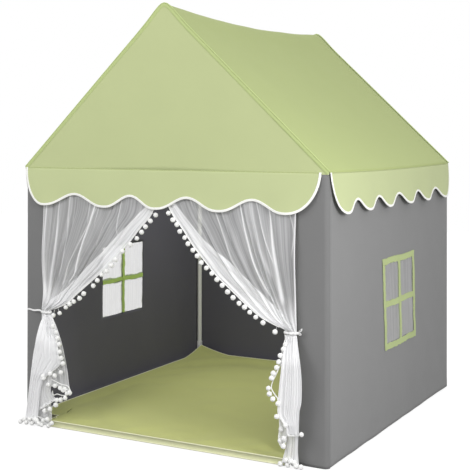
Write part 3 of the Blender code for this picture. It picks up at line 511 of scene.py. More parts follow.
def hem_rise(u, z, seed):
    """The wavy lower hem, always clear of the floor."""
    rise = HEM_CLEARANCE + HEM_WAVE * waves(u, u * 0, seed, HEM_WAVE_SIZE)
    return rise * smooth_step(HEM_REACH, 0, z)


def hem_fold(z):
    """The step where the hem is folded over and stitched."""
    return FOLD_STEP * (z < HEM_FOLD + 0.001)


# %% Front and back panels
TURN_STEPS = 8
DOOR_MARGIN = 0.02


def wrapping_path(end):
    """Columns along the front (end -1) or back (end 1) panel: x, y, the outward normal and length."""
    flat_half = HALF_WIDTH - CORNER_RADIUS
    rows = []
    for step in range(TURN_STEPS + 1):
        turn = math.pi / 2 * step / TURN_STEPS
        normal = (-math.cos(turn), end * math.sin(turn))
        rows.append((-flat_half + CORNER_RADIUS * normal[0], normal))
    inner = DOOR_HALF - DOOR_MARGIN
    stops = [-flat_half, -DOOR_HALF, -inner, inner, DOOR_HALF, flat_half]
    middle = [(x, (0.0, float(end))) for x in spaced(stops, GRID_STEP)[1:-1]]
    mirrored = [(-x, (-normal[0], normal[1])) for x, normal in reversed(rows)]
    columns = []
    length = 0.0
    for x, normal in rows + middle + mirrored:
        y = end * (HALF_DEPTH - CORNER_RADIUS) + CORNER_RADIUS * normal[1]
        if columns:
            length += math.hypot(x - columns[-1][0], y - columns[-1][1])
        columns.append((x, y, *normal, length))
    return np.array(columns)


def make_end_panel(end_name, end, material, seed):
    path = wrapping_path(end)
    z = spaced([0, HEM_FOLD, DOOR_HEIGHT, WALL_TOP], GRID_STEP)[:, None]
    x, y, nx, ny, u = (path[:, number][None, :] for number in range(5))
    swell = wall_swell(u, z, seed) * smooth_step(0, CORNER_HOLD, HALF_WIDTH - np.abs(x))
    width = float(path[-1, 4])
    keep = None
    if end == -1:
        from_door = np.abs(x) - DOOR_HALF
        near_door = smooth_step(DOOR_HOLD, 0.0, np.abs(from_door))
        folded = np.abs(from_door - DOOR_FOLD / 2) < DOOR_FOLD / 2
        swell = swell * (1 - DOOR_CALM * near_door) + DOOR_FOLD_STEP * folded
        middle_x = np.abs(path[1:, 0] + path[:-1, 0])[None, :] / 2
        middle_z = (z[1:] + z[:-1]) / 2
        keep = ~((middle_x < DOOR_HALF) & (middle_z < DOOR_HEIGHT))
        # the two jambs and the strip over the doorway, laid side by side
        width -= 2 * DOOR_HALF * DOOR_HEIGHT / WALL_TOP
    swell = swell + hem_fold(z)
    px, py = splayed(x + nx * swell, y + ny * swell, z)
    points = grid(px, py, z + hem_rise(u, z, seed))
    panel = sheet_object(f"{end_name}_wall_cloth_painted_shade_inside", points, grid(u, z), material, CLOTH, offset=end, keep=keep)
    finish_piece(panel, "tent", [f"wall_{end_name}"])
    return width


for end_name, end, material, seed in (("front", -1, door_wall_cloth_painted_shade, 11), ("back", 1, wall_cloth_painted_shade_inside, 12)):
    print(end_name, "panel is", round(make_end_panel(end_name, end, material, seed), 3), "m wide when flat")

# %% Side panels with their window holes
def window_lean(side_name, y, z):
    """How far a place beside a window leans, because the window was sewn in a little crooked."""
    _, middle, slope = WINDOWS[side_name]
    return (WINDOW_HEIGHT - z) * slope * smooth_step(LEAN_END, LEAN_FULL, np.abs(y - middle))


def side_wall_point(side_name, y, z, out=0.0):
    """A place on a side wall, from its flat coordinates. out stands off the outer face."""
    side = WINDOWS[side_name][0]
    swell = wall_swell(y, z, 20 + side)
    swell = swell * smooth_step(0.0, SEAM_HOLD, HALF_DEPTH - CORNER_RADIUS - np.abs(y)) + out
    px, py = splayed(HALF_WIDTH + swell, y + window_lean(side_name, y, z), z)
    return grid(side * px, py, z + hem_rise(y, z, 20 + side))


def make_side_panel(side_name):
    side, middle, _ = WINDOWS[side_name]
    end = HALF_DEPTH - CORNER_RADIUS
    y = spaced([-end, middle - WINDOW_HALF, middle + WINDOW_HALF, end], GRID_STEP)[None, :]
    low, high = WINDOW_HEIGHT - WINDOW_HALF, WINDOW_HEIGHT + WINDOW_HALF
    z = spaced([0, HEM_FOLD, low, high, WALL_TOP], GRID_STEP)[:, None]
    points = side_wall_point(side_name, y, z, hem_fold(z))
    in_y = np.abs((y[:, 1:] + y[:, :-1]) / 2 - middle) < WINDOW_HALF
    in_z = np.abs((z[1:] + z[:-1]) / 2 - WINDOW_HEIGHT) < WINDOW_HALF
    name = f"{side_name}_wall_cloth_painted_shade_inside"
    panel = sheet_object(name, points, grid(y + end, z), wall_cloth_painted_shade_inside, CLOTH, offset=-side, keep=~(in_z & in_y))
    return finish_piece(panel, "tent", [f"wall_{side_name}"])


for side_name in WINDOWS:
    make_side_panel(side_name)
print("side panels are", round(2 * (HALF_DEPTH - CORNER_RADIUS), 3), "m wide")

# %% [markdown]
# ## The windows
# A square of fine voile fills each hole. A green gathered tape is sewn round it and across it, and
# the same tape crosses it on the inside. Voile lets about half of the light straight through, and
# scatters the rest, so a window looks pale from the dark inside and grey from outside. Mixing a
# Transparent, a Translucent and a plain shader gives both.

# %% Sheer material
LEAST_COVER = 0.05
VOILE_PITCH = 0.0009
STREAK_SCALES = (150, 2.5, 1)


def sheer_material(name, colour, glow, streaks, density=None):
    """A thin voile. density is its opaque share, or left out where the points carry their own."""
    material, tree, shader = shaded_material(name, 0.9)
    shader.inputs["Base Color"].default_value = colour
    shader.inputs["Specular IOR Level"].default_value = 0.2
    shader.inputs["Sheen Weight"].default_value = 0.15
    through = new_node(tree, "ShaderNodeBsdfTranslucent")
    through.inputs["Color"].default_value = colour
    cloth = new_node(tree, "ShaderNodeMixShader")
    cloth.inputs[0].default_value = glow
    feed(tree, shader.outputs[0], cloth.inputs[1])
    feed(tree, through.outputs[0], cloth.inputs[2])
    flat = new_node(tree, "ShaderNodeTexCoord").outputs["UV"]
    share = density or new_node(tree, "ShaderNodeAttribute", attribute_name="cover").outputs["Fac"]
    share = maths(tree, "MULTIPLY_ADD", voile_streaks(tree, flat), streaks, share)
    share = maths(tree, "MINIMUM", maths(tree, "MAXIMUM", share, LEAST_COVER), 1.0)
    veil = new_node(tree, "ShaderNodeMixShader")
    feed(tree, share, veil.inputs[0])
    feed(tree, new_node(tree, "ShaderNodeBsdfTransparent").outputs[0], veil.inputs[1])
    feed(tree, cloth.outputs[0], veil.inputs[2])
    add_bump(tree, shader, weave_height(tree, flat, VOILE_PITCH), 0.3, 0.0004)
    output = next(node for node in tree.nodes if node.type == "OUTPUT_MATERIAL")
    feed(tree, veil.outputs[0], output.inputs["Surface"])
    return material


def voile_streaks(tree, flat):
    """Uneven lengthwise threads, from -0.5 to 0.5: a noise stretched along the cloth."""
    stretch = new_node(tree, "ShaderNodeMapping")
    stretch.inputs["Scale"].default_value = STREAK_SCALES
    feed(tree, flat, stretch.inputs["Vector"])
    return maths(tree, "SUBTRACT", noise(tree, 1, detail=4, place=stretch.outputs[0]), 0.5)


window_voile = sheer_material("window_voile", rgb(239, 238, 243), glow=0.45, density=0.62, streaks=0.5)
# Painted light: the inner face of the tape is lighter and greener than its outer face, for light on it inside
# the tent.
tape_cloth_painted_light_inside = cloth_material(
    "green_gathered_tape_painted_light_inside",
    rgb(184, 198, 140),
    pitch=0.0008,
    uneven=0.12,
    rows_v=(0.0,),
    inside=rgb(196, 228, 124),
)

# %% Panes and gathered tapes
PANE_STEP = 0.009
PANE_GAP = 0.0004
PANE_SET = -0.0008
PANE_SLACK = 0.0006
INNER_TAPE_WIDTH = 0.015
TAPE_STEP = 0.0022
TAPE_RAGGED = 0.16
TAPE_DRIFT = 0.0026
TAPE_END_HOLD = 0.03
PUCKER = 0.0007
PUCKER_PITCH = 0.0065


def make_pane(side_name):
    side, middle, _ = WINDOWS[side_name]
    half = WINDOW_HALF - PANE_GAP
    y = spaced([middle - half, middle + half], PANE_STEP)[None, :]
    z = spaced([WINDOW_HEIGHT - half, WINDOW_HEIGHT + half], PANE_STEP)[:, None]
    slack = PANE_SET + PANE_SLACK * waves(y, z, 40 + side, 0.12)
    points = side_wall_point(side_name, y, z, slack)
    flat = grid(y - middle + WINDOW_HALF, z - z[0])
    pane = sheet_object(f"{side_name}_window_voile", points, flat, window_voile)
    return finish_piece(pane, "tent", [f"window_pane_{side_name}"])


def gathered_tape(side_name, start, end, width, out, seed):
    """Points and flat places of one strip of tape between two (y, z) places of a wall."""
    (y0, z0), (y1, z1) = start, end
    length = math.hypot(y1 - y0, z1 - z0)
    along = spaced([0, length], TAPE_STEP)[:, None]
    across = np.linspace(-1, 1, 7)[None, :]
    dy, dz = (y1 - y0) / length, (z1 - z0) / length
    ragged = 1 + TAPE_RAGGED * waves(along, across * 0.004, seed, 0.026)
    drift = TAPE_DRIFT * waves(along, along * 0, seed + 3, 0.11)
    drift = drift * smooth_step(0, TAPE_END_HOLD, along) * smooth_step(0, TAPE_END_HOLD, length - along)
    offset = across * width / 2 * ragged + drift
    y = y0 + dy * along - dz * offset
    z = z0 + dz * along + dy * offset
    uneven = 1.5 * waves(along, across * 0.01, seed + 5, 0.04)
    pucker = PUCKER * np.sin(along * 2 * math.pi / PUCKER_PITCH + uneven)
    lift = out + (0.0006 + pucker * (0.4 + 0.6 * np.abs(across))) * math.copysign(1, out)
    return side_wall_point(side_name, y, z, lift), grid(along, across * width / 2)


def join_pieces(name, pieces):
    """One object from several, in the order given."""
    with bpy.context.temp_override(active_object=pieces[0], selected_editable_objects=pieces):
        bpy.ops.object.join()
    pieces[0].name = name
    pieces[0].data.name = name
    return pieces[0]


def make_tapes(side_name):
    """The tapes round a window and across it, inside and outside, as one piece."""
    side, middle, _ = WINDOWS[side_name]
    reach = WINDOW_HALF + TRIM_WIDTH / 2
    outer = reach + TRIM_WIDTH / 2
    low, high = WINDOW_HEIGHT - reach, WINDOW_HEIGHT + reach
    left, right = middle - reach, middle + reach
    level, inner = WINDOW_HEIGHT, WINDOW_HALF
    # each strip: its two ends as (y, z), its width, and how far it stands off the wall
    runs = [
        ((middle - outer, low), (middle + outer, low), TRIM_WIDTH, 0.0008),
        ((middle - outer, high), (middle + outer, high), TRIM_WIDTH, 0.0008),
        ((left, low), (left, high), TRIM_WIDTH, 0.0011),
        ((right, low), (right, high), TRIM_WIDTH, 0.0011),
        ((left, level), (right, level), TRIM_WIDTH, 0.0006),
        ((middle, low), (middle, high), TRIM_WIDTH, 0.0009),
        ((middle - inner, level), (middle + inner, level), INNER_TAPE_WIDTH, -0.0024),
        ((middle, level - inner), (middle, level + inner), INNER_TAPE_WIDTH, -0.0028),
    ]
    strips = []
    for number, (start, end, width, out) in enumerate(runs):
        points, flat = gathered_tape(side_name, start, end, width, out, 60 + number + 10 * side)
        strips.append(sheet_object(f"strip_{number}", points, flat, tape_cloth_painted_light_inside))
    tapes = join_pieces(f"{side_name}_window_tapes", strips)
    return finish_piece(tapes, "tent", [f"window_trim_{side_name}"])


for side_name in WINDOWS:
    make_pane(side_name)
    make_tapes(side_name)
print("window panes are", 2 * WINDOW_HALF, "m square")

# %% [markdown]
# ## The roof
# One sheet runs from eave to eave over the ridge. No pole carries the ridge, so the sheet sags
# between the two apex joints, and each slope hollows between its edges. The gable ends are nearly
# flat triangles, and a piped seam joins them to the roof. The sag is a formula, because a cloth that
# is sewn tight along its edges takes this shape without creases.

# %% Roof sheet
EAVE_HALF_WIDTH = 0.562
SLOPE_HALF_DEPTH = 0.5782
EAVE_SAG = 0.005
RIDGE_SAG = 0.023
SLOPE_HOLLOW = 0.007
RIDGE_ROUND = 0.018
RIDGE_LIFT = 0.012
RIDGE_LIFT_REACH = 0.05
ROOF_RISE = (RIDGE_HEIGHT - EAVE_HEIGHT) / EAVE_HALF_WIDTH
ROOF_PITCH = math.atan(ROOF_RISE)
ROOF_ROWS = 61
ROOF_COLUMNS = 121
RIDGE_CROWDING = 1.12
ROOF_SWELL = 0.0012

# Painted shade: the roof slopes take a darker copy of the gables' green, for less light falling on the
# slopes.
roof_cloth_painted_shade = cloth_material("green_roof_cloth_painted_shade", rgb(178, 190, 126), uneven=0.035)
gable_cloth = cloth_material("green_gable_cloth", rgb(195, 204, 152), uneven=0.035)
seam_cloth = cloth_material("green_seam_cloth", rgb(192, 206, 142), uneven=0.05, rows_v=(0.0045,))


def edge_height(x):
    """The roof's edge over its gable, rounded at the ridge and lifted back over the joint."""
    lift = RIDGE_LIFT * np.exp(-((x / RIDGE_LIFT_REACH) ** 2))
    return RIDGE_HEIGHT + lift - np.sqrt(x * x + RIDGE_ROUND**2) * ROOF_RISE


def roof_height(x, along):
    """The roof's outer face above a place. along goes from -1 at the front to 1 at the back."""
    up = 1 - np.abs(x) / EAVE_HALF_WIDTH
    sag = mix(EAVE_SAG, RIDGE_SAG, up) + SLOPE_HOLLOW * 4 * up * (1 - up)
    return edge_height(x) - sag * (1 - along * along)


def make_roof():
    x = np.linspace(-1, 1, ROOF_COLUMNS)[None, :]
    x = np.sign(x) * np.abs(x) ** RIDGE_CROWDING * EAVE_HALF_WIDTH
    along = np.linspace(-1, 1, ROOF_ROWS)[:, None]
    y = along * SLOPE_HALF_DEPTH
    free = (1 - along**4) * (1 - (x / EAVE_HALF_WIDTH) ** 8)
    z = roof_height(x, along) + ROOF_SWELL * waves(x, y, 71, 0.26) * free
    flat = grid((x + EAVE_HALF_WIDTH) / math.cos(ROOF_PITCH), y)
    roof = sheet_object("roof_sheet", grid(x, y, z), flat, roof_cloth_painted_shade, CLOTH)
    return finish_piece(roof, "tent", ["roof_slope_left", "roof_slope_right"])


make_roof()

# %% Gable ends
GABLE_GAP = 0.0005
GABLE_SWELL = 0.0012
GABLE_HOLLOW = 0.0008


def make_gable(end_name, end):
    """A triangle with a soft swell, sewn to the roof along its two slopes."""
    across = np.linspace(-1, 1, 97)[None, :]
    up = np.linspace(0, 1, 41)[:, None] ** 0.9
    base = WALL_TOP + GABLE_GAP
    x = across * (EAVE_HALF_WIDTH - GABLE_GAP)
    z = mix(base, edge_height(x), up)
    free = up * (1 - up) * 4 * (1 - across**2)
    swell = (GABLE_SWELL * waves(x, z, 80 + end, 0.30) - GABLE_HOLLOW) * free
    points = grid(x, end * (HALF_DEPTH + swell), z)
    flat = grid(x + EAVE_HALF_WIDTH, z)
    gable = sheet_object(f"{end_name}_gable_cloth", points, flat, gable_cloth, CLOTH, offset=end)
    return finish_piece(gable, "tent", [f"gable_{end_name}"])


for end_name, end in (("front", -1), ("back", 1)):
    make_gable(end_name, end)
print("gables are", round(RIDGE_HEIGHT - WALL_TOP, 3), "m high")

# %% Piped seams at the roof's ends
PIPING_RADIUS = 0.0020
WELD_DISTANCE = 0.00001
SEAM_LENGTH = 1.53
# the flat band beside the piping: how far in each row lies, how far it stands out, and its flat place
SEAM_BAND = (
    (0.0, 0.0006, 0.0),
    (0.0015, 0.0011, 0.0015),
    (0.009, 0.0010, 0.008),
    (0.010, 0.0002, 0.009),
)


def swept_tube(name, path, radius, sides, material, up=(0, 1, 0)):
    """A closed tube along a path of points, with flat coordinates along it."""
    path = np.asarray(path, float)
    ahead = np.gradient(path, axis=0)
    ahead /= np.linalg.norm(ahead, axis=1)[:, None]
    side = np.cross(ahead, np.asarray(up, float))
    side /= np.linalg.norm(side, axis=1)[:, None]
    top = np.cross(side, ahead)
    turn = np.linspace(0, 2 * math.pi, sides + 1)
    ring = side[:, None, :] * np.cos(turn)[:, None] + top[:, None, :] * np.sin(turn)[:, None]
    middles = np.concatenate([path[:1], path, path[-1:]])[:, None, :]
    radii = np.array([0, *[radius] * len(path), 0])[:, None, None]
    points = middles + np.concatenate([ring[:1], ring, ring[-1:]]) * radii
    steps = path_lengths(path)
    steps = np.concatenate([[0], steps, steps[-1:]])
    flat = grid(steps[:, None], (turn * radius)[None, :])
    obj = sheet_object(name, points, flat, material)
    weld(obj.data)
    return obj


def weld(mesh):
    shape = bmesh.new()
    shape.from_mesh(mesh)
    bmesh.ops.remove_doubles(shape, verts=shape.verts, dist=WELD_DISTANCE)
    bmesh.ops.recalc_face_normals(shape, faces=shape.faces)
    shape.to_mesh(mesh)
    shape.free()


def roof_edge(out):
    """(x, z) along the roof's edge, moved out from the cloth by a distance."""
    x = np.linspace(-EAVE_HALF_WIDTH, EAVE_HALF_WIDTH, ROOF_COLUMNS)
    z = edge_height(x)
    slope = np.gradient(z, x)
    length = np.sqrt(1 + slope**2)
    return x - slope / length * out, z + out / length


def make_roof_seam(end_name, end):
    x, z = roof_edge(PIPING_RADIUS + 0.0003)
    line = grid(x, end * (HALF_DEPTH - PIPING_RADIUS), z)
    piping = swept_tube(f"{end_name}_roof_piping", line, PIPING_RADIUS, 12, seam_cloth)
    rows = []
    for inward, out, _ in SEAM_BAND:
        x, z = roof_edge(-inward)
        rows.append(grid(x, end * (HALF_DEPTH + out), z))
    flat = grid(np.linspace(0, SEAM_LENGTH, x.size)[None, :], np.array([row[2:] for row in SEAM_BAND]))
    band = sheet_object("band", np.stack(rows), flat, seam_cloth)
    seam = join_pieces(f"{end_name}_roof_piping", [piping, band])
    return finish_piece(seam, "tent", [f"roof_piping_{end_name}"])


make_roof_seam("front", -1)
make_roof_seam("back", 1)
print("roof seams done")

# %% [markdown]
# ## The valances
# Four flaps with scalloped edges hang from the eaves and stand off the walls. Each is a strip of the
# roof cloth with a folded white binding sewn round its edge. The scallops aren't alike: the low
# points were measured one by one. The flap waves out at each low point, as a free edge does.

# %% Valance shapes
FLARE = math.radians(8)
VALANCE_LOW = 0.129
VALANCE_PEAK = 0.091
SCALLOP_SHARPNESS = 1.25
BINDING_WIDTH = 0.0078
BINDING_HALF = 0.0014
FOLD_OUTSET = 0.0015
GABLE_LOWS = (-0.845, -0.394, -0.035, 0.383, 0.803)
SIDE_LOWS = (-0.836, -0.505, -0.200, 0.157, 0.488, 0.854)
GABLE_SPAN = 1.096
SIDE_SPAN = 1.148


def mirrored_lows(lows):
    return tuple(-low for low in reversed(lows))


# each flap: the middle of its fold, how far it is turned, its span and its low points
VALANCES = {
    "front": ((-0.009, -HALF_DEPTH - FOLD_OUTSET), 0, GABLE_SPAN, GABLE_LOWS),
    "back": ((-0.009, HALF_DEPTH + FOLD_OUTSET), math.pi, GABLE_SPAN, mirrored_lows(GABLE_LOWS)),
    "right": ((EAVE_HALF_WIDTH + FOLD_OUTSET, 0), math.pi / 2, SIDE_SPAN, SIDE_LOWS),
    "left": ((-EAVE_HALF_WIDTH - FOLD_OUTSET, 0), -math.pi / 2, SIDE_SPAN, mirrored_lows(SIDE_LOWS)),
}
VALANCE_THICKNESS = 0.0012
VALANCE_TOP = 0.0004
VALANCE_INSET = 0.002
SCALLOP_STEPS = 22
END_STEPS = 16
# how far the flap waves out at its low points, and elsewhere
LOW_WAVE = 0.0050
LOW_WAVE_WIDTH = 0.045
FREE_WAVE = 0.0022
BINDING_PUCKER = 0.10
BINDING_PUCKER_PITCH = 0.0085
# the binding's closed profile: how far in from the edge, and how far out from the flap
BINDING_OUTSIDE = (
    (0.0007, 0.0010),
    (0.0020, BINDING_HALF),
    (0.0060, 0.0010),
    (0.0070, BINDING_HALF),
    (BINDING_WIDTH, 0.0008),
)
BINDING_INSIDE = tuple((inset, -out) for inset, out in BINDING_OUTSIDE[::-1])
BINDING_PROFILE = ((0.0, 0.0), *BINDING_OUTSIDE, *BINDING_INSIDE, (0.0, 0.0))

valance_cloth = cloth_material(
    "green_valance_cloth", rgb(196, 205, 155), uneven=0.04, rows_v=(0.0016, 0.0030), thread=rgb(150, 162, 96)
)
binding_cloth = cloth_material(
    "white_binding_cloth", rgb(255, 255, 250), pitch=0.0008, uneven=0.01, rows_v=(0.0062, -0.0062)
)


def scallop_edge(half_span, lows):
    """The lower edge as (along, depth), from one end of the fold to the other."""
    lows = [low * half_span for low in lows]
    edge = []
    for step in range(END_STEPS):
        turn = math.pi / 2 * step / END_STEPS
        edge.append((lows[0] - (half_span + lows[0]) * math.cos(turn), VALANCE_LOW * math.sin(turn)))
    for here, there in zip(lows, lows[1:]):
        for step in range(SCALLOP_STEPS):
            share = step / SCALLOP_STEPS
            rise = math.sin(math.pi * share) ** (2 * SCALLOP_SHARPNESS)
            edge.append((mix(here, there, share), mix(VALANCE_LOW, VALANCE_PEAK, rise)))
    for step in range(END_STEPS + 1):
        turn = math.pi / 2 * step / END_STEPS
        edge.append((lows[-1] + (half_span - lows[-1]) * math.sin(turn), VALANCE_LOW * math.cos(turn)))
    return np.array(edge)


def valance_wave(side, along, depth):
    """How far the free cloth stands off its flat flap."""
    _, _, span, lows = VALANCES[side]
    near_low = np.zeros_like(along)
    for low in lows:
        near_low = near_low + np.exp(-(((along - low * span / 2) / LOW_WAVE_WIDTH) ** 2))
    drop = (depth / VALANCE_LOW) ** 1.6
    return drop * (LOW_WAVE * (near_low - 0.55) + FREE_WAVE * waves(along, depth, 90 + len(side), 0.21))


def valance_point(side, along, depth, out):
    """A place of a flap from its own flat coordinates. The top follows the sag of the eave."""
    (middle_x, middle_y), turn, _, _ = VALANCES[side]
    if side in ("left", "right"):
        near_middle = np.clip(1 - (along / HALF_DEPTH) ** 2, 0, 1)
        depth = depth + EAVE_SAG * near_middle * np.clip(1 - depth / VALANCE_PEAK, 0, 1)
    out = out + valance_wave(side, along, depth)
    y = -math.sin(FLARE) * depth - math.cos(FLARE) * out
    z = EAVE_HEIGHT - math.cos(FLARE) * depth + math.sin(FLARE) * out
    x = middle_x + along * math.cos(turn) - y * math.sin(turn)
    y = middle_y + along * math.sin(turn) + y * math.cos(turn)
    return grid(x, y, z)


def edge_inward(edge):
    """Unit vectors from each place of the edge into the cloth."""
    ahead = np.gradient(edge, axis=0)
    ahead /= np.linalg.norm(ahead, axis=1)[:, None]
    return np.stack([ahead[:, 1], -ahead[:, 0]], axis=-1)


# %% Flaps and their bindings
def make_valance(side):
    _, _, span, lows = VALANCES[side]
    edge = scallop_edge(span / 2, lows)
    inward = edge_inward(edge)
    cut = edge + inward * VALANCE_INSET
    share = np.linspace(0, 1, 15)[:, None]
    along = cut[:, 0] + 0 * share
    depth = mix(VALANCE_TOP, np.maximum(cut[:, 1], 2 * VALANCE_TOP), share)
    points = valance_point(side, along, depth, 0.0)
    name = f"{side}_valance_cloth"
    flap = sheet_object(name, points, grid(along, depth), valance_cloth, VALANCE_THICKNESS, offset=0.0)
    finish_piece(flap, f"{side}_valance", [f"valance_{side}"])
    rows, flats = [], []
    steps = path_lengths(edge)
    pucker = 1 + BINDING_PUCKER * np.sin(steps * 2 * math.pi / BINDING_PUCKER_PITCH)
    pucker = pucker + 0.06 * waves(steps, steps * 0, 7, 0.05)
    for inset, out in BINDING_PROFILE:
        spot = edge + inward * inset
        rows.append(valance_point(side, spot[:, 0], np.maximum(spot[:, 1], VALANCE_TOP), out * pucker))
        flats.append(grid(steps, math.copysign(inset, out)))
    binding = sheet_object(f"{side}_valance_binding", np.stack(rows), np.stack(flats), binding_cloth)
    weld(binding.data)
    finish_piece(binding, f"{side}_valance", [f"valance_{side}_binding"])
    return float(steps[-1])


for side in VALANCES:
    length = make_valance(side)
    print(side, "valance has", round(length, 2), "m of binding")

# %% [markdown]
# ## The curtains
# Each curtain is a strip of voile, gathered into a tie at waist height. Above the tie it is a drape
# whose leading edge swings across the doorway, and below it a tail that falls in layers. One layer
# of voile is half clear. Where a pleat folds it over itself it turns white, so each point of the
# cloth carries its own density: low between the pleats, high along them, along the hem and in the
# tie. The pleats are lines, (x, z) down the doorway, and raise the same points into folds.

# %% Sizes and pleats of the drapes
DRAPE_TOP = 0.850
DRAPE_START = -0.5826
WAIST_Y = -0.6035
WAIST_WIDTH = 0.040
NECK_HEIGHT = 0.014
DRAPE_FLAT_WIDTH = 0.46
EDGE_FALLS = (0, 0.133, 0.252, 0.354, 0.465, 0.564, 0.664, 0.763, 0.863, 0.94, 1)
CURTAINS = {
    "left": {
        "sign": -1,
        "seed": 31,
        "waist": (-0.464, 0.398),
        "outer": (
            (-0.4850, 0.850), (-0.4800, 0.700), (-0.4820, 0.550), (-0.4790, 0.450), (-0.4840, 0.398),
        ),
        "edge": (0.066, 0.075, 0.101, 0.190, 0.283, 0.389, 0.489, 0.612, 0.739, 0.834, 0.976),
    },
    "right": {
        "sign": 1,
        "seed": 37,
        "waist": (0.452, 0.410),
        "outer": ((0.4580, 0.850), (0.4615, 0.750), (0.4672, 0.592), (0.4715, 0.448), (0.4720, 0.410)),
        "edge": (-0.026, 0.009, 0.075, 0.165, 0.253, 0.345, 0.437, 0.558, 0.681, 0.798, 0.950),
    },
}
# each pleat: how white it is, its half width at the top and at the foot, and its line
PLEATS = {
    "left": (
        (0.50, 0.0045, 0.0050, ((-0.4663, 0.754), (-0.4705, 0.601), (-0.4670, 0.431))),
        (0.42, 0.0022, 0.0080, (
            (-0.4142, 0.756), (-0.4251, 0.604), (-0.4405, 0.524), (-0.4552, 0.431),
        )),
        (0.26, 0.0030, 0.0022, (
            (-0.3703, 0.765), (-0.3778, 0.638), (-0.3950, 0.549), (-0.4033, 0.523),
        )),
        (0.18, 0.0022, 0.0022, ((-0.3456, 0.775), (-0.3516, 0.701))),
        (0.58, 0.0040, 0.0034, (
            (-0.2721, 0.744), (-0.2871, 0.697), (-0.3109, 0.635), (-0.3351, 0.559), (-0.3472, 0.524),
            (-0.3669, 0.499),
        )),
        (0.20, 0.0022, 0.0015, ((-0.2882, 0.749), (-0.2938, 0.703))),
        (0.20, 0.0022, 0.0015, ((-0.2558, 0.738), (-0.2665, 0.698))),
        (0.34, 0.0018, 0.0030, (
            (-0.3360, 0.612), (-0.3658, 0.557), (-0.3821, 0.515), (-0.3943, 0.486),
        )),
        (0.12, 0.0030, 0.0030, ((-0.2130, 0.730), (-0.2351, 0.684), (-0.2566, 0.616))),
        (0.36, 0.0018, 0.0018, (
            (-0.1651, 0.758), (-0.1743, 0.696), (-0.1745, 0.678), (-0.1684, 0.667),
        )),
    ),
    "right": (
        (0.52, 0.0022, 0.0034, (
            (0.2733, 0.772), (0.2862, 0.724), (0.3064, 0.666), (0.3357, 0.590), (0.3648, 0.537),
            (0.3937, 0.495),
        )),
        (0.34, 0.0020, 0.0020, ((0.3317, 0.774), (0.3572, 0.691), (0.3933, 0.610))),
        (0.48, 0.0022, 0.0085, ((0.3749, 0.750), (0.3931, 0.639), (0.4113, 0.562), (0.4258, 0.493))),
        (0.36, 0.0022, 0.0040, (
            (0.2044, 0.717), (0.2325, 0.656), (0.2548, 0.605), (0.2955, 0.558), (0.3176, 0.540),
        )),
        (0.20, 0.0020, 0.0015, ((0.2138, 0.747), (0.2455, 0.670))),
        (0.16, 0.0020, 0.0015, ((0.1149, 0.754), (0.1310, 0.726))),
        (0.30, 0.0022, 0.0025, ((0.4421, 0.749), (0.4580, 0.704), (0.4539, 0.635))),
        (0.22, 0.0120, 0.0060, ((0.3050, 0.770), (0.3260, 0.700), (0.3500, 0.640), (0.3850, 0.570))),
        (0.50, 0.0024, 0.0030, ((0.4595, 0.750), (0.4657, 0.592), (0.4701, 0.448))),
    ),
}
# the pressed band along the leading edge: its inner line
EDGE_BANDS = {
    "left": (
        (-0.0802, 0.750), (-0.1471, 0.688), (-0.2175, 0.618), (-0.2895, 0.556), (-0.3671, 0.488),
        (-0.4425, 0.432),
    ),
    "right": (
        (0.0526, 0.762), (0.1070, 0.707), (0.1606, 0.659), (0.2324, 0.610), (0.3066, 0.552),
        (0.3830, 0.492), (0.4260, 0.454),
    ),
}
SHEER = 0.41
BAND_WHITE = 0.47
# each crease of the band: its place across it, and how much it darkens it
BAND_CREASES = ((0.22, 0.16), (0.42, 0.24), (0.60, 0.14), (0.80, 0.20))
CREASE_WIDTH = 0.045
# the bright fold along the band's inner line
BAND_LINE = 0.14
BAND_LINE_WIDTH = 0.0022
# how much denser the cloth is in the tie and along its hem, and how uneven it is
NECK_DENSITY = 0.45
HEM_DENSITY = 0.36
CLOUD_DENSITY = 0.045
PLEAT_HEIGHT = 0.9
SWELLS = 6
# how deep the swells are at the top, further down and in the tie
SWELL_DEPTHS = (0.0007, 0.0062, 0.0088)
DRAPE_COLUMNS = 421
DRAPE_ROWS = 121

voile = sheer_material("curtain_voile", rgb(254, 254, 255), glow=0.06, streaks=0.55)


# %% Drapes
def smooth_line(places, values, at):
    """A smooth line through a table's entries, read at an array of places."""
    places, values = np.asarray(places, float), np.asarray(values, float)
    slopes = np.gradient(values, places)
    at = np.clip(at, places[0], places[-1])
    spot = np.clip(np.searchsorted(places, at, side="right") - 1, 0, len(places) - 2)
    width = places[spot + 1] - places[spot]
    share = (at - places[spot]) / width
    rise = values[spot + 1] - values[spot]
    bend_in = slopes[spot] * width - rise
    bend_out = -slopes[spot + 1] * width + rise
    return values[spot] + rise * share + share * (1 - share) * (bend_in * (1 - share) + bend_out * share)


def line_at(line, z):
    """The x of a line of (x, z) at an array of heights. Above its top end it runs straight on."""
    xs, zs = np.array(line)[::-1].T
    over = np.maximum(z - zs[-1], 0) * (xs[-1] - xs[-2]) / (zs[-1] - zs[-2])
    return smooth_line(zs, xs, z) + over


def pleat_ridges(side, x, z):
    """How white and how raised the pleats make each place of a drape."""
    ridges = np.zeros(np.broadcast(x, z).shape)
    for white, top, foot, line in PLEATS[side]:
        high, low = line[0][1], line[-1][1]
        half = mix(foot, top, np.clip((z - low) / (high - low), 0, 1))
        ends = smooth_step(low - 0.020, low + 0.015, z)
        ridges = np.maximum(ridges, white * ends * np.exp(-(((x - line_at(line, z)) / half) ** 2)))
    return ridges


def drape_depth(fall):
    return mix(DRAPE_START, WAIST_Y, smooth_step(0, 0.6, fall))


def leading_edge(side, fall):
    """(x, z) of the drape's leading edge. fall goes from its top, 0, to its waist, 1."""
    curtain = CURTAINS[side]
    x = curtain["sign"] * DOOR_HALF * smooth_line(EDGE_FALLS, curtain["edge"], fall)
    return x, mix(DRAPE_TOP, curtain["waist"][1], fall)


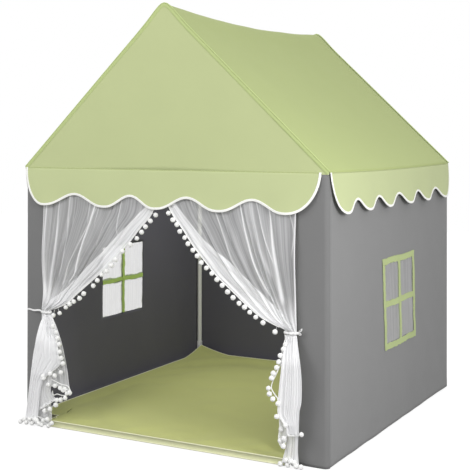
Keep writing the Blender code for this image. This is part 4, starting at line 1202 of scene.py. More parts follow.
def fold_ripple(across, folds, seed):
    """Uneven folds, from -1 to 1, over an array of shares across the cloth."""
    chance = np.random.default_rng(seed)
    phase = folds * across
    for count in (1, 2, 3, 5):
        size = chance.uniform(-0.34, 0.34)
        phase = phase + size * np.sin(2 * math.pi * (count * across + chance.uniform()))
    return np.cos(2 * math.pi * phase)


def set_density(obj, density):
    """Gives each point of a voile its own density, for the material."""
    values = np.clip(density, LEAST_COVER, 1).astype(np.float32).ravel()
    obj.data.attributes.new("cover", "FLOAT", "POINT").data.foreach_set("value", values)


def band_density(side, x, z, edge_x):
    """The pressed band: a bright fold along its inner line, then creases that run along with it."""
    toward = -CURTAINS[side]["sign"]
    line = line_at(EDGE_BANDS[side], z)
    inside = (x - line) * toward
    share = inside / np.maximum((edge_x - line) * toward, 0.001)
    crease = 0.0
    for place, depth in BAND_CREASES:
        wander = place + 0.05 * np.sin(z * 31 + place * 40)
        uneven = 0.6 + 0.4 * np.sin(z * 47 + place * 25)
        crease = crease + depth * np.exp(-(((share - wander) / CREASE_WIDTH) ** 2)) * uneven
    start = smooth_step(-0.002, 0.003, inside)
    return start, BAND_WHITE * start + BAND_LINE * np.exp(-((inside / BAND_LINE_WIDTH) ** 2)) - crease * start


def drape_density(side, x, z, edge_x, outer_x, level):
    start, band = band_density(side, x, z, edge_x)
    cloud = CLOUD_DENSITY * waves(x, z * 0.16, 21, 0.075)
    gathered = NECK_DENSITY * smooth_step(0.74, 0.98, level)
    hem = HEM_DENSITY * smooth_step(0.0045, 0.0020, np.abs(x - outer_x))
    folds = np.maximum(pleat_ridges(side, x, z), hem) * (1 - start)
    return SHEER + np.maximum(folds, band) + cloud + gathered


def round_profile(across):
    """1 in the middle of the cloth and 0 at its edges, as half a circle."""
    return np.sqrt(np.maximum(1 - (2 * across - 1) ** 2, 0))


def make_drape(side):
    curtain = CURTAINS[side]
    across = np.linspace(0, 1, DRAPE_COLUMNS)[None, :]
    # past its waist, 1, the drape goes on through the tie
    fall = np.concatenate([np.linspace(0, 1, DRAPE_ROWS), [1.5, 2.0]])[:, None]
    level = np.minimum(fall, 1)
    edge_x, edge_z = leading_edge(side, level)
    outer_x = line_at(curtain["outer"], edge_z)
    x = mix(outer_x, edge_x, across)
    top, middle, neck = SWELL_DEPTHS
    depth = mix(top, middle, smooth_step(0.0, 0.45, level))
    depth = mix(depth, neck, smooth_step(0.75, 1.0, level)) * mix(1, round_profile(across), level**6)
    near_edge = mix(0.25, 1, smooth_step(1.0, 0.93, across))
    ripple = fold_ripple(across, SWELLS, curtain["seed"])
    z = edge_z - (fall - level) * NECK_HEIGHT + 0 * across
    y = drape_depth(level) + depth * (0.55 * ripple * near_edge - PLEAT_HEIGHT * pleat_ridges(side, x, z))
    fall_length = DRAPE_TOP - curtain["waist"][1] + NECK_HEIGHT
    flat = grid(across * DRAPE_FLAT_WIDTH, fall / 2 * fall_length)
    drape = sheet_object(f"{side}_drape", grid(x, y, z), flat, voile)
    set_density(drape, drape_density(side, x, z, edge_x, outer_x, level))
    return finish_piece(drape, "tent", [f"curtain_drape_{side}"])


for side in CURTAINS:
    drape = make_drape(side)
    surface = sum(face.area for face in drape.data.polygons)
    print(side, "drape has", round(surface, 3), "square metres of voile")

# %% [markdown]
# ## The tails
# Below the tie each curtain falls in layers: the leading edge folds back over the rest, so several
# lengths of voile lie behind each other, and the longest one just reaches the floor. Each layer is
# a ruled sheet between its outer edge and its inner edge, with folds across it. The edges were
# measured on the plane of the hem, so a layer that hangs further back is moved along the view.

# %% Tail layers
TAIL_PLANE = -0.640
TAIL_FLAT_WIDTH = 0.30
TURN_LENGTH = 0.05
NECK_GAP = 0.0004
FLOOR_GAP = 0.004
# how deep the folds are below, and in the tie
TAIL_DEPTHS = (0.0050, 0.0080)
FOLD_HEIGHT = 0.42
FINE_FOLDS = 2.6
FINE_HEIGHT = 0.07
TAIL_HEM_DENSITY = 0.35
# each layer: how far it hangs behind the front one, how many folds it has, how dense it is, and
# the lines of its outer and its inner edge
TAILS = {
    "left": (
        {
            "back": 0.016,
            "folds": 4,
            "density": 0.64,
            "outer": ((-0.4659, 0.206), (-0.4757, 0.138), (-0.4814, 0.071), (-0.4955, 0.005)),
            "inner": (
                (-0.4330, 0.210), (-0.4262, 0.144), (-0.4202, 0.079), (-0.4181, 0.046),
                (-0.4258, 0.010),
            ),
        },
        {
            "back": 0.011,
            "folds": 4,
            "density": 0.54,
            "outer": ((-0.4424, 0.340), (-0.4405, 0.275), (-0.4391, 0.209), (-0.4383, 0.153)),
            "inner": (
                (-0.4050, 0.375), (-0.3895, 0.345), (-0.3742, 0.307), (-0.3637, 0.269),
                (-0.3556, 0.234), (-0.3490, 0.199), (-0.3449, 0.167), (-0.3394, 0.140),
            ),
        },
        {
            "back": 0.006,
            "folds": 3,
            "density": 0.58,
            "outer": (
                (-0.4472, 0.307), (-0.4618, 0.207), (-0.4695, 0.139), (-0.4718, 0.092),
                (-0.4700, 0.061),
            ),
            "inner": (
                (-0.4125, 0.310), (-0.4126, 0.245), (-0.4154, 0.192), (-0.4176, 0.162),
                (-0.4200, 0.128), (-0.3985, 0.105),
            ),
        },
        {
            "back": 0.0,
            "folds": 6,
            "density": 0.95,
            "outer": (
                (-0.4452, 0.396), (-0.4603, 0.362), (-0.4735, 0.328), (-0.4847, 0.287),
                (-0.4939, 0.250), (-0.5020, 0.205), (-0.5083, 0.168), (-0.5171, 0.117),
                (-0.5255, 0.065), (-0.5317, 0.038), (-0.5372, 0.012),
            ),
            "inner": (
                (-0.4071, 0.371), (-0.3996, 0.344), (-0.3942, 0.312), (-0.3900, 0.280),
                (-0.3854, 0.251), (-0.3797, 0.232), (-0.3963, 0.212), (-0.4177, 0.196),
                (-0.4377, 0.181), (-0.4546, 0.161), (-0.4625, 0.140), (-0.4690, 0.106),
                (-0.4739, 0.072), (-0.4780, 0.038), (-0.4802, 0.010),
            ),
        },
    ),
    "right": (
        {
            "back": 0.014,
            "folds": 4,
            "density": 0.80,
            "outer": (
                (0.4945, 0.350), (0.4962, 0.251), (0.4961, 0.158), (0.4959, 0.096), (0.4954, 0.058),
                (0.4990, 0.011),
            ),
            "inner": (
                (0.4519, 0.361), (0.4530, 0.247), (0.4540, 0.153), (0.4566, 0.090), (0.4533, 0.058),
                (0.4439, 0.028), (0.4364, 0.012),
            ),
        },
        {
            "back": 0.007,
            "folds": 4,
            "density": 0.76,
            "outer": (
                (0.4889, 0.343), (0.4828, 0.250), (0.4698, 0.155), (0.4633, 0.107), (0.4553, 0.077),
            ),
            "inner": (
                (0.4551, 0.386), (0.4424, 0.338), (0.4379, 0.276), (0.4338, 0.213), (0.4331, 0.150),
                (0.4353, 0.118), (0.4319, 0.093), (0.4334, 0.076), (0.4437, 0.062),
            ),
        },
        {
            "back": 0.0,
            "folds": 5,
            "density": 0.96,
            "outer": (
                (0.4902, 0.405), (0.4927, 0.381), (0.4973, 0.350), (0.5014, 0.323), (0.5050, 0.293),
                (0.5069, 0.262), (0.5071, 0.228), (0.5059, 0.203), (0.5007, 0.180), (0.4995, 0.158),
                (0.4987, 0.127), (0.4988, 0.105),
            ),
            "inner": (
                (0.4551, 0.386), (0.4494, 0.366), (0.4444, 0.342), (0.4412, 0.317), (0.4386, 0.291),
                (0.4353, 0.263), (0.4327, 0.238), (0.4304, 0.212), (0.4295, 0.181), (0.4317, 0.156),
                (0.4434, 0.142), (0.4581, 0.122), (0.4627, 0.102),
            ),
        },
    ),
}

tail_voile = sheer_material("tail_voile", rgb(254, 254, 255), glow=0.05, streaks=0.14)


def seen_at(x, z, y):
    """A place measured on the plane of the hem, moved along the camera's view to another depth."""
    share = (y - TAIL_PLANE) / (CAMERA_PLACE[1] - TAIL_PLANE)
    return mix(x, CAMERA_PLACE[0], share), mix(z, CAMERA_PLACE[2], share)


def tail_depth(fall):
    return mix(WAIST_Y, TAIL_PLANE, smooth_step(0, 0.36, fall))


def tail_edge(table, at_neck, fall, back):
    """An edge of a layer at an array of falls, starting in the gathered neck."""
    steps = path_lengths(table)
    neck_x, neck_z = at_neck
    first = math.dist(table[0], at_neck)
    places = np.concatenate([[0], (steps + first) / (steps[-1] + first)])
    y = tail_depth(places) + back * smooth_step(0, 0.4, places)
    xs, zs = [neck_x], [neck_z]
    for (x, z), depth in zip(table, y[1:]):
        moved = seen_at(x, z, depth)
        xs.append(moved[0])
        zs.append(min(moved[1], neck_z - 0.001 * len(zs)))
    return smooth_line(places, xs, fall), smooth_line(places, zs, fall)


def tail_layer(side, number, layer):
    """The points, flat places and density of one layer."""
    curtain = CURTAINS[side]
    sign, back = curtain["sign"], layer["back"]
    waist_x, neck_z = curtain["waist"][0], curtain["waist"][1] - NECK_HEIGHT - NECK_GAP
    across = np.linspace(0, 1, 141)[None, :]
    fall = np.linspace(0, 1, 91)[:, None]
    half = sign * WAIST_WIDTH / 2
    outer_x, outer_z = tail_edge(layer["outer"], (waist_x + half, neck_z), fall, back)
    inner_x, inner_z = tail_edge(layer["inner"], (waist_x - half, neck_z), fall, back)
    gathered = 1 - smooth_step(0, 0.45, fall)
    depth = mix(*TAIL_DEPTHS, gathered) * mix(1, round_profile(across), gathered)
    ripple = fold_ripple(across, layer["folds"], 50 + number + 7 * sign)
    fine = fold_ripple(across, FINE_FOLDS * layer["folds"], 60 + number + 7 * sign)
    folds = FOLD_HEIGHT * ripple + FINE_HEIGHT * fine
    y = tail_depth(fall) + back * smooth_step(0, 0.4, fall) + depth * folds
    x = mix(outer_x, inner_x, across) + 0.25 * depth * np.sin(2 * math.pi * layer["folds"] * across)
    z = mix(outer_z, inner_z, across) + 0.004 * np.sin(across * 17 + number) * fall**6
    hems = np.maximum(smooth_step(0.97, 1.0, across), smooth_step(0.965, 0.99, fall))
    overlap = 0.5 * (1 - smooth_step(0.0, 0.30, fall)) + 0.10 * np.maximum(ripple, 0)
    density = layer["density"] + TAIL_HEM_DENSITY * hems + overlap
    flat = grid(across * TAIL_FLAT_WIDTH, fall * neck_z)
    return grid(x, y, np.maximum(z, FLOOR_GAP)), flat, density


def tail_bend(side):
    """Two places below the tie, one above the other, TURN_LENGTH apart."""
    x, z = CURTAINS[side]["waist"]
    top = z - NECK_HEIGHT
    return (x, WAIST_Y, top), (x, WAIST_Y, top - TURN_LENGTH)


def make_tail(side):
    layers = []
    for number, layer in enumerate(TAILS[side]):
        points, flat, density = tail_layer(side, number, layer)
        sheet = sheet_object(f"layer_{number}", points, flat, tail_voile)
        set_density(sheet, density)
        layers.append(sheet)
    tail = join_pieces(f"{side}_tail", layers)
    body = f"{side}_curtain_tail"
    return finish_piece(tail, body, [f"curtain_tail_{side}"], tail_bend(side))


for side in CURTAINS:
    make_tail(side)

# %% [markdown]
# ## Pom-poms
# A pom-pom is a ball of cut yarn on a short thread, sewn to a cord along the curtain's edge. A round
# ball of mesh would look like a bead, so each point of a fine ball is pushed in or out by a random
# amount, which gives the cut ends of the yarn. Every ball differs a little in size. The trim follows
# each hem of a tail, and at the right one it has come loose and hangs in a loop.

# %% Yarn, cords and balls
POMPOM_RADIUS = 0.0078
CORD_RADIUS = 0.0016
THREAD_RADIUS = 0.0006
TUFT_SPREAD = 0.055


def yarn_material(name):
    material, tree, shader = shaded_material(name, 1.0)
    fluff = noise(tree, 900, detail=3)
    colour = blend_colours(tree, fluff, rgb(246, 246, 244), rgb(255, 255, 254))
    feed(tree, colour, shader.inputs["Base Color"])
    add_bump(tree, shader, fluff, 0.4, 0.0006)
    shader.inputs["Sheen Weight"].default_value = 0.3
    return material


white_yarn = yarn_material("white_yarn")


def pompom_ball():
    """The points and faces of a fine ball of radius 1."""
    shape = bmesh.new()
    bmesh.ops.create_icosphere(shape, subdivisions=3, radius=1)
    points = np.array([vertex.co[:] for vertex in shape.verts])
    faces = [tuple(vertex.index for vertex in face.verts) for face in shape.faces]
    shape.free()
    return points, faces


BALL_POINTS, BALL_FACES = pompom_ball()


def pompom_row(name, centres, seed):
    """One mesh of fluffy balls at the given centres."""
    chance = np.random.default_rng(seed)
    points, faces = [], []
    for number, centre in enumerate(centres):
        tufts = 1 + chance.normal(0, TUFT_SPREAD, (len(BALL_POINTS), 1))
        radius = POMPOM_RADIUS * chance.uniform(0.90, 1.04)
        points.append(BALL_POINTS * tufts * radius + np.array(centre))
        start = number * len(BALL_POINTS)
        faces += [tuple(start + index for index in face) for face in BALL_FACES]
    mesh = bpy.data.meshes.new(name)
    mesh.from_pydata(np.concatenate(points).tolist(), [], faces)
    mesh.uv_layers.new(name="flat")
    mesh.materials.append(white_yarn)
    obj = bpy.data.objects.new(name, mesh)
    scene.collection.objects.link(obj)
    return obj


def make_trim(name, lines, centres, anchors, seed):
    """Cords along the edges, pom-poms, and a thread from each pom-pom to its place on the edge."""
    parts = [pompom_row("balls", centres, seed)]
    for number, line in enumerate(lines):
        parts.append(swept_tube(f"cord_{number}", line, CORD_RADIUS, 8, white_yarn))
    for number, (centre, anchor) in enumerate(zip(centres, anchors)):
        thread = np.linspace(centre, anchor, 3)
        parts.append(swept_tube(f"thread_{number}", thread, THREAD_RADIUS, 5, white_yarn))
    return join_pieces(name, parts)


def nearest_on(line, place):
    line = np.asarray(line)
    return line[np.argmin(np.linalg.norm(line - np.asarray(place), axis=1))]


# %% Trims of the drapes
DRAPE_PLANE = -0.600
# each pom-pom's place, as (x, z) on that plane, from the top of the trim down
DRAPE_POMPOMS = {
    "right": (
        (0.0193, 0.7435), (0.0368, 0.7231), (0.0526, 0.7087), (0.0647, 0.6882), (0.0838, 0.6696),
        (0.0969, 0.6513), (0.1156, 0.6323), (0.1314, 0.6152), (0.1464, 0.5952), (0.1645, 0.5799),
        (0.1842, 0.5639), (0.2024, 0.5461), (0.2209, 0.5295), (0.2397, 0.5107), (0.2587, 0.4944),
        (0.2796, 0.4783), (0.2984, 0.4680), (0.3165, 0.4534), (0.3367, 0.4404), (0.3614, 0.4256),
        (0.4017, 0.4015),
    ),
    "left": (
        (-0.0282, 0.7356), (-0.0472, 0.7164), (-0.0646, 0.6972), (-0.0781, 0.6794), (-0.0951, 0.6587),
        (-0.1177, 0.6375), (-0.1486, 0.6145), (-0.1749, 0.5860), (-0.1915, 0.5661), (-0.2115, 0.5458),
        (-0.2316, 0.5336), (-0.2485, 0.5133), (-0.2655, 0.4943), (-0.3048, 0.4652), (-0.3221, 0.4487),
        (-0.3463, 0.4357), (-0.3636, 0.4259), (-0.3794, 0.4135), (-0.4060, 0.3916), (-0.4325, 0.3823),
    ),
}


def make_drape_trim(side):
    fall = np.linspace(0.12, 0.985, 160)
    x, z = leading_edge(side, fall)
    line = grid(x, drape_depth(fall) - 0.0004, z)
    centres, anchors = [], []
    for px, pz in DRAPE_POMPOMS[side]:
        anchor = nearest_on(line, (px, DRAPE_PLANE, pz))
        centres.append((px, anchor[1] - 0.002, pz))
        anchors.append(anchor)
    trim = make_trim(f"{side}_drape_pompoms", [line], centres, anchors, 5)
    return finish_piece(trim, "tent", [f"pompom_trim_drape_{side}"])


# %% Trims of the tails
# each cord: how far behind the front layer it lies, and its line
TAIL_CORDS = {
    "left": (
        (-0.001, (
            (-0.4120, 0.378), (-0.4071, 0.371), (-0.3996, 0.344), (-0.3942, 0.312), (-0.3900, 0.280),
            (-0.3854, 0.251), (-0.3797, 0.232), (-0.3963, 0.212), (-0.4177, 0.196), (-0.4377, 0.181),
            (-0.4546, 0.161),
        )),
        (0.009, (
            (-0.4383, 0.153), (-0.4195, 0.169), (-0.3993, 0.165), (-0.3792, 0.159), (-0.3471, 0.153),
            (-0.3390, 0.140),
        )),
        (0.008, (
            (-0.3390, 0.139), (-0.3517, 0.125), (-0.3739, 0.121), (-0.3961, 0.123), (-0.4112, 0.118),
            (-0.4150, 0.132),
        )),
        (0.004, (
            (-0.3977, 0.105), (-0.4129, 0.096), (-0.4337, 0.082), (-0.4524, 0.072), (-0.4700, 0.061),
        )),
        (-0.003, (
            (-0.4780, 0.036), (-0.4908, 0.022), (-0.5076, 0.026), (-0.5246, 0.014), (-0.5450, 0.010),
            (-0.5560, 0.006),
        )),
    ),
    "right": (
        (-0.001, (
            (0.4567, 0.399), (0.4500, 0.383), (0.4450, 0.365), (0.4417, 0.345), (0.4404, 0.327),
            (0.4401, 0.316),
        )),
        (-0.003, (
            (0.4401, 0.316), (0.4303, 0.297), (0.4202, 0.276), (0.4100, 0.254), (0.4072, 0.240),
            (0.4149, 0.225), (0.4280, 0.210),
        )),
        (-0.001, (
            (0.4280, 0.210), (0.4301, 0.193), (0.4292, 0.174), (0.4317, 0.156), (0.4434, 0.142),
            (0.4581, 0.122), (0.4627, 0.102), (0.4803, 0.102), (0.4988, 0.105),
        )),
        (0.006, (
            (0.4344, 0.148), (0.4353, 0.118), (0.4319, 0.093), (0.4334, 0.076), (0.4437, 0.062),
            (0.4516, 0.073), (0.4555, 0.096),
        )),
        (0.010, (
            (0.4364, 0.0125), (0.4518, 0.0200), (0.4689, 0.0180), (0.4875, 0.0200), (0.5045, 0.0120),
        )),
    ),
}
TAIL_POMPOMS = {
    "left": (
        (-0.4080, 0.3523), (-0.3950, 0.3332), (-0.3889, 0.3139), (-0.3834, 0.2933), (-0.3824, 0.2678),
        (-0.3761, 0.2473), (-0.3690, 0.2299), (-0.3782, 0.1986), (-0.4043, 0.1851), (-0.4242, 0.1889),
        (-0.4511, 0.1706), (-0.4326, 0.1513), (-0.4043, 0.1500), (-0.3830, 0.1449), (-0.3633, 0.1427),
        (-0.3431, 0.1330), (-0.3620, 0.1130), (-0.3810, 0.1050), (-0.3975, 0.1020), (-0.4019, 0.0846),
        (-0.4268, 0.0677), (-0.4491, 0.0587), (-0.4841, 0.0200), (-0.4643, 0.0087), (-0.4203, 0.0193),
        (-0.5050, 0.0085), (-0.5300, 0.0080), (-0.5560, 0.0080), (-0.4540, 0.1760), (-0.3540, 0.1300),
        (-0.3700, 0.1390), (-0.4760, 0.0110), (-0.4930, 0.0230), (-0.5160, 0.0210), (-0.5390, 0.0190),
        (-0.4560, 0.0240), (-0.4350, 0.0090), (-0.4400, 0.0300),
    ),
    "right": (
        (0.4536, 0.3738), (0.4466, 0.3598), (0.4369, 0.3390), (0.4317, 0.3196), (0.4245, 0.3017),
        (0.4137, 0.2836), (0.4078, 0.2687), (0.3976, 0.2363), (0.4006, 0.2197), (0.4123, 0.2053),
        (0.4289, 0.1932), (0.4251, 0.1532), (0.4543, 0.1304), (0.5069, 0.1099), (0.4370, 0.0815),
        (0.4470, 0.0665), (0.4620, 0.0100), (0.4900, 0.0090), (0.4400, 0.1180), (0.4500, 0.0900),
        (0.4380, 0.0090), (0.5060, 0.0090), (0.4720, 0.0240), (0.4830, 0.0220), (0.4560, 0.0250),
    ),
}


def make_tail_trim(side):
    lines = []
    waist_z = CURTAINS[side]["waist"][1]
    for back, table in TAIL_CORDS[side]:
        table = np.array(table)
        steps = path_lengths(table)
        along = spaced([0, steps[-1]], 0.003)
        x, z = smooth_line(steps, table[:, 0], along), smooth_line(steps, table[:, 1], along)
        y = tail_depth((waist_z - z) / waist_z) + back
        x, z = seen_at(x, z, y)
        lines.append(grid(x, y, np.maximum(z, CORD_RADIUS + 0.0015)))
    spots = np.concatenate(lines)
    centres, anchors = [], []
    for px, pz in TAIL_POMPOMS[side]:
        anchor = nearest_on(spots, (px, TAIL_PLANE, pz))
        y = anchor[1] - 0.003
        cx, cz = seen_at(px, pz, y)
        centres.append((cx, y, max(cz, POMPOM_RADIUS + 0.001)))
        anchors.append(anchor)
    trim = make_trim(f"{side}_tail_pompoms", lines, centres, anchors, 6)
    body = f"{side}_curtain_tail"
    return finish_piece(trim, body, [f"pompom_trim_tail_{side}"], tail_bend(side))


for side in CURTAINS:
    make_drape_trim(side)
    make_tail_trim(side)
print("pom-poms:", sum(len(row) for table in (DRAPE_POMPOMS, TAIL_POMPOMS) for row in table.values()))

# %% [markdown]
# ## The ties
# A narrow band of white cloth goes round each waist and holds the gathers. The left one runs on as a
# ribbon to the corner of the tent, and the right one ends in a small bow.

# %% Ties
TIE_HALF_WIDTH = 0.0206
TIE_HALF_DEPTH = 0.0110
TIE_HALF_HEIGHT = 0.0034
TIE_BULGE = 0.0008
TIE_THICKNESS = 0.0011
RIBBON_THICKNESS = 0.0008
RIBBON_HALF_WIDTH = 0.0030
BOW_HALF_WIDTH = 0.0026
TIE_END = (-0.5560, -0.5895)
# each loop of the bow: its tip beside the waist, how wide it opens, and a seed for its twist
BOW_LOOPS = (((0.038, -0.001, 0.006), 0.0038, 0), ((0.036, -0.002, -0.009), 0.0030, 2))
BOW_ROOT = 0.0225
KNOT_SHAPE = (0.45, 0.5, 0.6)

tie_cloth = cloth_material(
    "white_tie_cloth", rgb(252, 252, 251), pitch=0.0007, uneven=0.04, rows_v=(0.0036, -0.0036)
)


def tie_band(side):
    x, z = CURTAINS[side]["waist"]
    turn = np.linspace(0, 2 * math.pi, 73)[None, :]
    level = np.linspace(-1, 1, 9)[:, None]
    crease = 0.0005 * np.cos(turn * 9 + level) + 0.0004 * np.cos(turn * 17)
    bulge = crease + TIE_BULGE * (1 - level**2)
    px = x + (TIE_HALF_WIDTH + bulge) * np.cos(turn)
    py = WAIST_Y + (TIE_HALF_DEPTH + bulge) * np.sin(turn)
    pz = z - NECK_HEIGHT / 2 + level * TIE_HALF_HEIGHT + 0.0004 * np.sin(turn * 5)
    return sheet_object("band", grid(px, py, pz), grid(turn * 0.018, level * 0.005), tie_cloth, TIE_THICKNESS)


def ribbon(path, width_vectors, half_width):
    """A flat ribbon along a path, with a direction of its width at each place."""
    sideways = width_vectors / np.linalg.norm(width_vectors, axis=1)[:, None]
    across = np.linspace(-1, 1, 5)[:, None] * half_width
    points = path[None] + across[:, :, None] * sideways[None]
    flat = grid(path_lengths(path)[None, :], across)
    return sheet_object("ribbon", points, flat, tie_cloth, RIBBON_THICKNESS, offset=0.0)


def make_left_tie():
    x, z = CURTAINS["left"]["waist"]
    z = z - NECK_HEIGHT / 2
    share = np.linspace(0, 1, 25)
    start = np.array((x - TIE_HALF_WIDTH - 0.0009, WAIST_Y, z + 0.002))
    path = start + (np.array((*TIE_END, z)) - start) * share[:, None]
    path[:, 2] += 0.0012 * np.sin(share * 9)
    parts = [tie_band("left"), ribbon(path, grid(0, 0.25 * np.sin(share * 5), 1), RIBBON_HALF_WIDTH)]
    return finish_piece(join_pieces("left_tie", parts), "tent", ["tieback_left"])


def bow_loop(root, tip, width, seed):
    """One loop of ribbon, from the knot out to the tip and back."""
    turn = np.linspace(0, 1, 41)
    root, tip = np.array(root), np.array(tip)
    path = root + (tip - root) * (np.sin(math.pi * turn) ** 0.8)[:, None]
    path[:, 2] += width * np.sin(2 * math.pi * turn)
    return ribbon(path, grid(0, 1, 0.3 * np.sin(turn * 6 + seed)), BOW_HALF_WIDTH)


def make_right_tie():
    x, z = CURTAINS["right"]["waist"]
    root = (x + BOW_ROOT, WAIST_Y, z - NECK_HEIGHT / 2)
    parts = [tie_band("right")]
    for (dx, dy, dz), width, seed in BOW_LOOPS:
        parts.append(bow_loop(root, (x + dx, WAIST_Y + dy, z + dz), width, seed))
    parts.append(pompom_knot(root))
    return finish_piece(join_pieces("right_tie", parts), "tent", ["tieback_right"])


def pompom_knot(place):
    """The small hard knot in the middle of the bow."""
    knot = pompom_row("knot", [place], 9)
    centre = np.array(place)
    for vertex in knot.data.vertices:
        vertex.co = Vector(centre + (np.array(vertex.co) - centre) * KNOT_SHAPE)
    knot.data.materials[0] = tie_cloth
    return knot


make_left_tie()
make_right_tie()

# %% [markdown]
# ## The mat
# A boxed pad of olive cloth lies inside and pushes a tongue out through the doorway. Its top is
# crowned, its paler sides pull in between two rows of piping, and its two back corners curl up
# against the posts. The top, the sides and the underside are one closed skin. A cloth simulation
# with a small pressure, run on a coarser copy, swells the top as its filling does. Its moves are
# then carried over to the fine skin, which keeps the seams sharp.

# %% Mat shapes
MAT_HALF_WIDTH = 0.536
MAT_HALF_DEPTH = 0.556
MAT_THICKNESS = 0.022
MAT_CROWN = 0.005
MAT_TONGUE = 0.040
TONGUE_HALF = 0.4535
MAT_CURL = 0.040
MAT_CURL_REACH = 0.24
MAT_FRONT_CLEAR = 0.12
MAT_WALL_LIFT = 0.007
MAT_WALL_REACH = 0.07
MAT_BASE_GAP = 0.0002
MAT_SWELL = 0.0012
BOXING_SWELL = 0.0008
TOP_RINGS = 56
RING_CROWDING = 1.6
# each row of the boxing strip, from the top down: how far out it stands, and its height
BOXING_ROWS = (
    (0.0012, MAT_THICKNESS - 0.0016),
    (-0.0012, MAT_THICKNESS * 0.75),
    (-0.0020, MAT_THICKNESS / 2),
    (-0.0012, MAT_THICKNESS * 0.25),
    (0.0012, 0.0020),
)
BASE_SHARES = (1.0, 0.97, 0.8, 0.5, 0.0)
# the two rows of piping, and the height of each
MAT_PIPING = {"mat_top_piping": MAT_THICKNESS - 0.0006, "mat_bottom_piping": 0.0026}
MAT_PIPING_OUT = 0.0014
# a face whose normal rises less than this is part of the boxing strip
BOXING_SLOPE = 0.7

mat_cloth = cloth_material("olive_mat_cloth", rgb(195, 199, 126), pitch=0.0014, uneven=0.05)
boxing_cloth = cloth_material("pale_boxing_cloth", rgb(222, 224, 184), pitch=0.0011, uneven=0.06)
mat_piping_cloth = cloth_material("cream_piping_cloth", rgb(234, 234, 200), pitch=0.0008, uneven=0.05)


def mat_plan(across, along):
    """A place of the mat's plan. Its front edge bulges out through the doorway."""
    x = across * MAT_HALF_WIDTH
    reach = HALF_DEPTH + MAT_TONGUE - MAT_HALF_DEPTH
    bulge = reach * (1 - smooth_step(0.985 * TONGUE_HALF, TONGUE_HALF, np.abs(x)))
    return x, mix(-MAT_HALF_DEPTH - bulge, MAT_HALF_DEPTH, (along + 1) / 2)


def mat_curl(across, along):
    """How high the mat is pushed up: a little along the walls, and most in the two back corners."""
    from_side = (1 - np.abs(across)) * MAT_HALF_WIDTH
    from_back = (1 - along) * MAT_HALF_DEPTH
    corner = MAT_CURL * np.maximum(1 - np.hypot(from_side, from_back) / MAT_CURL_REACH, 0) ** 2
    wall = np.minimum(from_side + MAT_FRONT_CLEAR * smooth_step(-0.8, -1, along), from_back)
    return np.maximum(corner, MAT_WALL_LIFT * smooth_step(MAT_WALL_REACH, 0.0, wall))


def rim_places():
    """Shares round the mat's outline, in order, with more where it turns."""
    side = spaced([-1, -0.85, 0.85, 1], 0.035)
    front = spaced([-1, -0.8462, -0.8335, 0.8335, 0.8462, 1], 0.012)
    rim = [(share, -1) for share in front[:-1]] + [(1, share) for share in side[:-1]]
    rim += [(-share, 1) for share in front[:-1]] + [(-1, -share) for share in side[:-1]]
    return np.array(rim)


# %% Blowing up the mat's cover
SIM_VOXEL = 0.018
SIM_FRAMES = 20
SIM_PRESSURE = 0.12
SIM_SLACK = -0.004
SWELL_CAP = 0.006
SWELL_FADE = 0.050
TOP_SLOPE = 0.6
NEIGHBOURS = 4


def simulated_swell(obj):
    """Runs a cloth simulation on a remeshed copy. Returns its top's points and how far each moved."""
    graph = bpy.context.evaluated_depsgraph_get()
    copy = bpy.data.objects.new("swelling", obj.data.copy())
    scene.collection.objects.link(copy)
    voxels = copy.modifiers.new("voxels", "REMESH")
    voxels.mode = "VOXEL"
    voxels.voxel_size = SIM_VOXEL
    graph.update()
    copy.data = bpy.data.meshes.new_from_object(copy.evaluated_get(graph))
    copy.modifiers.clear()
    start = np.array([vertex.co[:] for vertex in copy.data.vertices])
    upward = np.array([vertex.normal.z for vertex in copy.data.vertices]) > TOP_SLOPE
    inside = np.abs(start[:, 0]) < MAT_HALF_WIDTH - SIM_VOXEL
    inside &= start[:, 1] < MAT_HALF_DEPTH - SIM_VOXEL
    inside &= start[:, 1] > -HALF_DEPTH - MAT_TONGUE + 1.5 * SIM_VOXEL
    held = copy.vertex_groups.new(name="held")
    held.add(np.flatnonzero(~(upward & inside)).tolist(), 1.0, "REPLACE")
    cloth = copy.modifiers.new("cloth", "CLOTH")
    cloth.settings.use_pressure = True
    cloth.settings.uniform_pressure_force = SIM_PRESSURE
    cloth.settings.shrink_min = SIM_SLACK
    cloth.settings.effector_weights.gravity = 0
    cloth.settings.vertex_group_mass = "held"
    cloth.point_cache.frame_end = SIM_FRAMES
    for number in range(1, SIM_FRAMES + 1):
        scene.frame_set(number)
    graph = bpy.context.evaluated_depsgraph_get()
    end = np.array([vertex.co[:] for vertex in copy.evaluated_get(graph).data.vertices])
    scene.frame_set(1)
    bpy.data.objects.remove(copy)
    return start[upward], (end - start)[upward]


def swell_mat(mat):
    """Moves the top of the cover by the simulated swell, capped, and fading out at the seam."""
    start, moves = simulated_swell(mat)
    size = np.linalg.norm(moves, axis=1)
    print("simulated points:", len(start), "largest move", round(float(size.max()), 4))
    moves *= (SWELL_CAP * np.tanh(size / SWELL_CAP) / np.maximum(size, 1e-9))[:, None]
    tree = KDTree(len(start))
    for number, place in enumerate(start):
        tree.insert(place, number)
    tree.balance()
    places = np.array([vertex.co[:] for vertex in mat.data.vertices])
    top = np.flatnonzero([vertex.normal.z > TOP_SLOPE for vertex in mat.data.vertices])
    for number in top:
        found = tree.find_n(places[number], NEIGHBOURS)
        weights = np.array([1 / (distance + 0.001) for _, _, distance in found])
        move = weights @ moves[[spot for _, spot, _ in found]] / weights.sum()
        x, y = places[number, :2]
        from_rim = min(MAT_HALF_WIDTH - abs(x), MAT_HALF_DEPTH - y, y + HALF_DEPTH + MAT_TONGUE)
        places[number] += move * smooth_step(0, SWELL_FADE, from_rim)
    mat.data.vertices.foreach_set("co", places.ravel())
    mat.data.update()


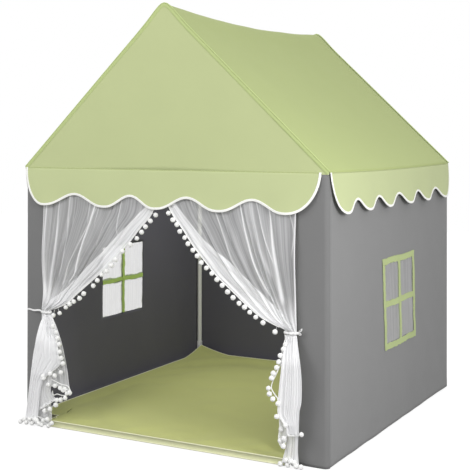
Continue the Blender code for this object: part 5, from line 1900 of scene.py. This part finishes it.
# %% The mat
def mat_row(rim, share, height):
    """A ring of the mat's plan, drawn in to a share of its size, at a height."""
    across, along = (rim * share).T
    x, y = mat_plan(across, along)
    return grid(x, y, height + mat_curl(across, along))


def make_mat():
    rim = rim_places()
    x, y = mat_plan(*rim.T)
    lift = mat_curl(*rim.T)
    ahead = np.roll(grid(x, y), -1, 0) - np.roll(grid(x, y), 1, 0)
    nx, ny = np.array([ahead[:, 1], -ahead[:, 0]]) / np.linalg.norm(ahead, axis=1)
    rows = []
    for share in 1 - (1 - np.linspace(0, 1, TOP_RINGS)) ** RING_CROWDING:
        across, along = (rim * share).T
        crown = MAT_CROWN * (1 - across**4) * (1 - along**4)
        swell = MAT_SWELL * waves(*mat_plan(across, along), 3, 0.30) * min((1 - share) * 6, 1)
        rows.append(mat_row(rim, share, MAT_THICKNESS + crown + swell))
    for out, height in BOXING_ROWS:
        pull = out - BOXING_SWELL * waves(x * 2, y * 2, 5, 0.05)
        rows.append(grid(x + nx * pull, y + ny * pull, height + lift))
    rows += [mat_row(rim, share, MAT_BASE_GAP) for share in BASE_SHARES]
    points = np.stack(rows)
    points = np.concatenate([points, points[:, :1]], axis=1)
    flat = points[:, :, :2].copy()
    steps = path_lengths(points[TOP_RINGS])
    for row in range(TOP_RINGS, TOP_RINGS + len(BOXING_ROWS)):
        flat[row] = grid(steps, points[row, :, 2])
    mat = sheet_object("mat_cover", points, flat, mat_cloth)
    weld(mat.data)
    mat.data.materials.append(boxing_cloth)
    for face in mat.data.polygons:
        face.material_index = int(abs(face.normal.z) < BOXING_SLOPE)
    swell_mat(mat)
    finish_piece(mat, "mat", ["mat"])
    for name, height in MAT_PIPING.items():
        line = grid(x + nx * MAT_PIPING_OUT, y + ny * MAT_PIPING_OUT, height + lift)
        line = np.concatenate([line, line[:1]])
        piping = swept_tube(name, line, PIPING_RADIUS, 10, mat_piping_cloth, up=(0, 0, 1))
        finish_piece(piping, "mat")
    return float(steps[-1])


print("mat piping is", round(make_mat(), 2), "m round")

# %% [markdown]
# ## The frame
# The tubes and joints are moulded plastic. Their solids from the model are right as they are, so
# they only take a material: nearly white, with the faint orange-peel of a mould and small scuffs
# that change how rough the shine is.

# %% Plastic for the tubes and joints
TUBES = ("post_", "rafter_", "eave_rail_", "floor_rail_")
JOINTS = ("corner_joint_", "foot_joint_", "apex_joint_")


def plastic_material():
    material, tree, shader = shaded_material("white_moulded_plastic", 0.4)
    scuff = noise(tree, 45, detail=6)
    feed(tree, maths(tree, "MULTIPLY_ADD", scuff, 0.25, 0.25), shader.inputs["Roughness"])
    add_bump(tree, shader, noise(tree, 600), 0.12, 0.0003)
    colour = blend_colours(tree, scuff, rgb(248, 248, 248), rgb(255, 255, 254))
    feed(tree, colour, shader.inputs["Base Color"])
    return material


plastic = plastic_material()
tubes_and_joints = [obj for name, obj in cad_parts.items() if name.startswith(TUBES + JOINTS)]
for obj in tubes_and_joints:
    for slot in obj.material_slots:
        slot.link = "OBJECT"
        slot.material = plastic
    if not obj.material_slots:
        obj.data.materials.append(plastic)
print(len(tubes_and_joints), "tubes and joints in white plastic")
